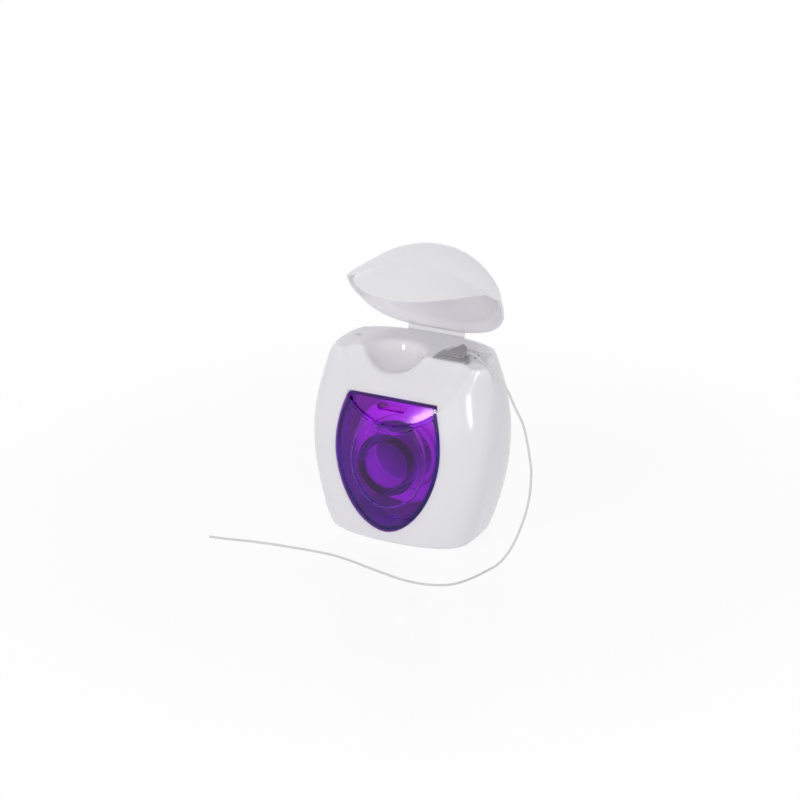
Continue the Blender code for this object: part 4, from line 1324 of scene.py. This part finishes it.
def make_insert():
    """The cup with its catch slot, and the post, as one object of two closed shells."""
    cup = make_insert_cup()
    middle = WINDOW_TOP_Z - CATCH_BELOW_TOP
    turn = np.linspace(-0.5 * np.pi, 0.5 * np.pi, 13)
    x, z = CATCH_HALF_LENGTH + CATCH_RADIUS * np.cos(turn), CATCH_RADIUS * np.sin(turn)
    slot = np.vstack([np.stack([side * x, side * z], -1) for side in (1, -1)]) + [WINDOW_X + 0.0002, middle]
    face = float(neck_y(middle))
    cut(cup, prism("catch_slot", slot, "Y", face - 0.002, face + CATCH_DEPTH))
    return joined(make_real(cup, 45), make_real(make_post(), 45))


insert = make_insert()
report(insert)
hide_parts("window_insert")
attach(insert, "case")

# %% [markdown]
# The cutter is stamped from thin spring steel. Its plate lies in the pocket. A tongue is cut free on three
# sides and bent up, so that the floss can be pulled under it and against its edge. The tongue is a sheet
# given by two parameters, one along it and one across it.

# %% The cutter
TONGUE_SHEET = 0.00032
TONGUE_ROOT_X = 0.00845
TONGUE_SETBACK = 0.0024
TONGUE_DEPTH = 0.0038
TONGUE_FLARE = 0.0013
TONGUE_RISE = 0.0021
PLATE_STRIP = 0.0021
PLATE_ARM = 0.0018


def tongue_points(along, across):
    """x = root + length * along, y = front + across * (depth + flare * along),
    z = deck + rise * along ** 1.3 * (0.1 + 0.9 * across ** 0.8); the length bulges and then rounds off."""
    length = 0.0053 + 0.0010 * eased(across / 0.55) - 0.0022 * np.clip((across - 0.5) / 0.5, 0, 1) ** 2.2
    y = PLATE_FRONT_Y + TONGUE_SETBACK + across * (TONGUE_DEPTH + TONGUE_FLARE * along)
    z = CASE_HEIGHT + TONGUE_RISE * along**1.3 * (0.10 + 0.90 * across**0.8)
    return np.stack([TONGUE_ROOT_X + along * length, y, z], -1)


def make_tongue():
    """The sheet's top and its bottom, a sheet's thickness lower, joined round their edge."""
    along, across = np.meshgrid(np.linspace(0, 1, 40), np.linspace(0, 1, 30), indexing="ij")
    top = tongue_points(along, across)
    bottom = top - [0, 0, TONGUE_SHEET]
    sides = (np.s_[0], np.s_[-1], np.s_[:, 0], np.s_[:, -1])
    rims = [np.stack([top[side], bottom[side]]) for side in sides]
    return joined_patches("tongue", [patch(top), patch(bottom), *map(patch, rims)], steel_material)


def make_cutter():
    """The plate with its arm and the tongue, with worn edges."""
    front, strip = PLATE_FRONT_Y, PLATE_FRONT_Y + PLATE_STRIP
    outline = [
        (PLATE_LEFT, front),
        (PLATE_RIGHT, front),
        (PLATE_RIGHT, front + 0.0034),
        (PLATE_RIGHT - PLATE_ARM, front + 0.0034),
        (PLATE_RIGHT - PLATE_ARM, strip),
        (PLATE_LEFT + PLATE_ARM, strip),
        (PLATE_LEFT + PLATE_ARM, front + 0.0062),
        (PLATE_LEFT, front + 0.0062),
    ]
    outline = rounded_outline(outline, 0.00022)
    plate = prism("cutter_stamped", outline, "Z", CASE_HEIGHT - PLATE_SHEET, CASE_HEIGHT)
    plate.data.materials[0] = steel_material
    stamped = (plate, make_tongue())
    for piece in stamped:
        add_edges(piece, 0.00004)
        make_real(piece)
    return joined(*stamped)


cutter = make_cutter()
report(cutter)
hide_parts("cutter_plate")
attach(cutter, "case")

# %% [markdown]
# The living hinge is a thin strip of the same moulding. It stands up from the case's rear rim, thins at its
# bend and runs on into the lid. Its section is carried across the back.

# %% The living hinge
HINGE_Y = 0.0133
HINGE_HALF_WIDTH = 0.00825
HINGE_THIN = 0.00013
HINGE_SWELL = 0.00007


def hinge_line():
    """The strip's middle line: up behind the rim, then turned open with the lid."""
    fixed, turned = (
        np.array([(0, HINGE_Y, z) for z in heights])
        for heights in ((0.0490, 0.0494, 0.04985), (0.05035, 0.0508, 0.0513))
    )
    return smooth_path(np.vstack([fixed, opened(turned)]), 0.00012)


def make_hinge():
    """The line made thick, 0.4 mm at its ends and 0.26 mm at its bend, and carried along X."""
    line = hinge_line()
    along = np.gradient(line, axis=0)
    across = np.stack([np.zeros(len(line)), -along[:, 2], along[:, 1]], -1)
    across /= np.linalg.norm(across, axis=1, keepdims=True)
    share = np.linspace(-1, 1, len(line))
    half = (HINGE_THIN + HINGE_SWELL * share**2)[:, None]
    loop = np.vstack([line + half * across, (line - half * across)[::-1]])
    x = HINGE_HALF_WIDTH * np.sin(np.linspace(-0.5 * np.pi, 0.5 * np.pi, 41))
    rows = np.repeat(loop[None], len(x), axis=0)
    rows[..., 0] = x[:, None]
    end = [list(range(len(loop)))]
    patches = [patch(rows, around=True), (rows[0], end), (rows[-1], end)]
    return make_real(joined_patches("hinge_strip", patches, white_material), 50)


hinge = make_hinge()
report(hinge)
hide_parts("living_hinge")
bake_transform(hinge)

# %% [markdown]
# Inside, the floss is wound on a tube that turns on the post. The winding isn't smooth: each turn lies in a
# slow helix, and the layers below show as low ridges. Two helices of opposite hand, added to the radius,
# give that look through the clear face.

# %% The spool and its winding
SPOOL_MIDDLE_Y = 0.00165
RIDGE = 0.00007


def make_core():
    """A plain tube with small radii at its ends."""
    inner, outer, half, small = 0.0087, 0.0101, 0.0095, 0.0003
    outside = [(outer, -half + small), (outer, half - small), (outer - small, half)]
    inside = [(inner + small, half), (inner, half - small), (inner, -half + small)]
    ends = [(inner + small, -half), (outer - small, -half)]
    rows = ring_rows(np.array(outside + inside + ends) + [0, SPOOL_MIDDLE_Y], 144, POST_AXIS_Z)
    return make_real(joined_patches("spool_tube", [closed_ring(rows)], core_material), 50)


def make_winding():
    """radius = outside + ridge * (cos(turn + a * y) + cos(2 * turn - b * y)), between two flat ends.

    a and b are one full turn over the pitches of the two helices, 0.62 mm and 0.71 mm.
    """
    half, outer, inner, small = 0.0085, 0.0146, 0.0104, 0.0007
    turn = np.linspace(0, 2 * np.pi, 216, endpoint=False)
    y = np.linspace(-half + small, half - small, 110)[:, None]
    ridge = RIDGE * (np.cos(turn + 2 * np.pi * y / 0.00062) + np.cos(2 * turn - 2 * np.pi * y / 0.00071))
    side = outer - 2 * RIDGE + ridge
    corner = np.linspace(0, 0.5 * np.pi, 5)[1:, None]
    corner_radius = side[0] - small * (1 - np.cos(corner))
    corner_y = -half + small - small * np.sin(corner) + 0 * turn
    share = np.linspace(0, 1, 14)[1:, None]
    flat = corner_radius[-1] + (inner - corner_radius[-1]) * share
    face = -half - 0.00006 * np.sin(2 * np.pi * flat / 0.00060 + turn) * (share < 1)
    radius = np.vstack([flat[::-1], corner_radius[::-1], side, corner_radius, flat])
    depth = np.vstack([face[::-1], corner_y[::-1], y + 0 * turn, -corner_y, -face])
    x, z = radius * np.sin(turn), POST_AXIS_Z + radius * np.cos(turn)
    points = np.stack([x, depth + SPOOL_MIDDLE_Y, z], -1)
    # The winding wears the lighter floss copy, which is painted light for the inside of the case.
    made = joined_patches("wound_floss", [closed_ring(points)], wound_floss_painted_lighter)
    places = np.array([point.co for point in made.data.vertices])
    set_uvs(made.data, places[:, [1, 0]] / STRAND_WRAP)
    return made


core, winding = make_core(), make_winding()
report(core)
report(winding)
for piece, node, slot in ((core, "spool_core", "core_moulding"), (winding, "floss_winding", "floss")):
    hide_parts(node)
    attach(piece, "spool")

# %% [markdown]
# One run of floss leaves the winding's right side and goes straight up to the slot in the deck.

# %% The lead
LEAD_ROUTE = (
    (0.0152, 0.0009, 0.0228),
    (0.0152, 0.0009, 0.02945),
    (0.014825, 0.0009, 0.03876),
    (0.01445, 0.0009, 0.0464),
    (0.01445, 0.0009, 0.0494),
)
lead, _ = tube("floss_inside", smooth_path(LEAD_ROUTE, 0.0005), FLOSS_RADIUS, floss_material)
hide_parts("floss_lead")
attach(lead, "case")

# %% [markdown]
# The floor is a pale sheet that keeps the object's shadow and a faint mirror image. What the camera and
# shiny or clear things see of it fades to plain white away from the object, and the world behind it is
# white for them too. The object itself is lit at a plain level, by a dim world and three lamps.

# %% Floor and world
def seen_directly(nodes, links):
    """1 for rays from the camera and for rays that a shiny or clear surface sends on, otherwise 0."""
    path = nodes.new("ShaderNodeLightPath")
    total = path.outputs["Is Camera Ray"]
    for ray in ("Is Glossy Ray", "Is Transmission Ray"):
        larger = nodes.new("ShaderNodeMath")
        larger.operation = "MAXIMUM"
        links.new(total, larger.inputs[0])
        links.new(path.outputs[ray], larger.inputs[1])
        total = larger.outputs["Value"]
    return total


FLOOR_LIFT = 0.88
FADE_START = 0.045
FADE_END = 0.22


def floor_finish():
    """A satin sheet near the object that fades to even white, for rays that see it directly."""
    sheet = {"Base Color": (0.97, 0.97, 0.975, 1), "Roughness": 0.14}
    material, nodes, links = new_material("studio_sheet", sheet)
    seen = seen_directly(nodes, links)
    white = add_node(nodes, "Emission", {"Color": (1, 1, 1, 1)})
    links.new(seen, white.inputs["Strength"])
    lift = ramp_between(nodes, links, seen, 0.0, FLOOR_LIFT)
    lifted = mixed(nodes, links, lift, nodes["Principled BSDF"].outputs["BSDF"], white.outputs["Emission"])
    place = nodes.new("ShaderNodeTexCoord")
    distance = nodes.new("ShaderNodeVectorMath")
    distance.operation = "LENGTH"
    links.new(place.outputs["Object"], distance.inputs[0])
    fade = add_node(nodes, "MapRange", {"From Min": FADE_START, "From Max": FADE_END})
    fade.interpolation_type = "SMOOTHSTEP"
    links.new(distance.outputs["Value"], fade.inputs["Value"])
    share = nodes.new("ShaderNodeMath")
    share.operation = "MULTIPLY"
    links.new(fade.outputs["Result"], share.inputs[0])
    links.new(seen, share.inputs[1])
    faded = mixed(nodes, links, share.outputs["Value"], lifted, white.outputs["Emission"])
    links.new(faded, nodes["Material Output"].inputs["Surface"])
    return material


def make_floor():
    """A level sheet: point = (x, y, 0) over a wide square."""
    x, y = np.meshgrid(np.linspace(-2, 2, 9), np.linspace(-2, 2, 9))
    points = np.stack([x, y, np.zeros_like(x)], -1)
    sheet = mesh_piece("studio_floor", points.reshape(-1, 3), grid_faces(9, 9), floor_finish())
    return sheet


def make_world(strength):
    """White for rays that see it directly, and a dimmer white as light."""
    world = bpy.data.worlds.new("studio")
    bpy.context.scene.world = world
    world.use_nodes = True
    nodes, links = world.node_tree.nodes, world.node_tree.links
    background = set_inputs(nodes["Background"], {"Color": (1, 1, 1, 1)})
    level = ramp_between(nodes, links, seen_directly(nodes, links), strength, 1.0)
    links.new(level, background.inputs["Strength"])


floor = make_floor()
make_world(0.64)
print("the floor is", [round(v, 1) for v in floor.dimensions], "m")

# %% [markdown]
# Three lamps do the rest. A small bright one stands high to the left of the front and shapes it. A wide
# faint one stands low in front. A tall narrow one stands to the right, and its mirror image is the upright
# highlight on the case's right shoulder.

# %% Lamps
LAMP_AIM = Vector((0, 0, 0.03))
LAMP_DISTANCE = 1.0


def add_lamp(name, turn, rise, size, radiance):
    """A flat lamp in a direction from the case's middle, given by its angles. Its power is the radiance of
    its face times pi times its area."""
    turn, rise = math.radians(turn), math.radians(rise)
    towards = Vector((math.sin(turn) * math.cos(rise), -math.cos(turn) * math.cos(rise), math.sin(rise)))
    data = bpy.data.lights.new(name, "AREA")
    data.shape = "RECTANGLE"
    data.size, data.size_y = size
    data.energy = radiance * math.pi * size[0] * size[1]
    lamp = bpy.data.objects.new(name, data)
    lamp.location = LAMP_AIM + LAMP_DISTANCE * towards
    lamp.rotation_euler = towards.to_track_quat("Z", "Y").to_euler()
    bpy.context.scene.collection.objects.link(lamp)
    print(name, "gives", round(data.energy, 2), "W")


add_lamp("front_lamp", -20, 31, (0.11, 0.19), 20.0)
add_lamp("broad_lamp", 4, 14, (0.70, 0.40), 0.7)
add_lamp("shoulder_lamp", 38, 20, (0.13, 0.28), 9.0)
bpy.context.scene.view_settings.view_transform = "Standard"
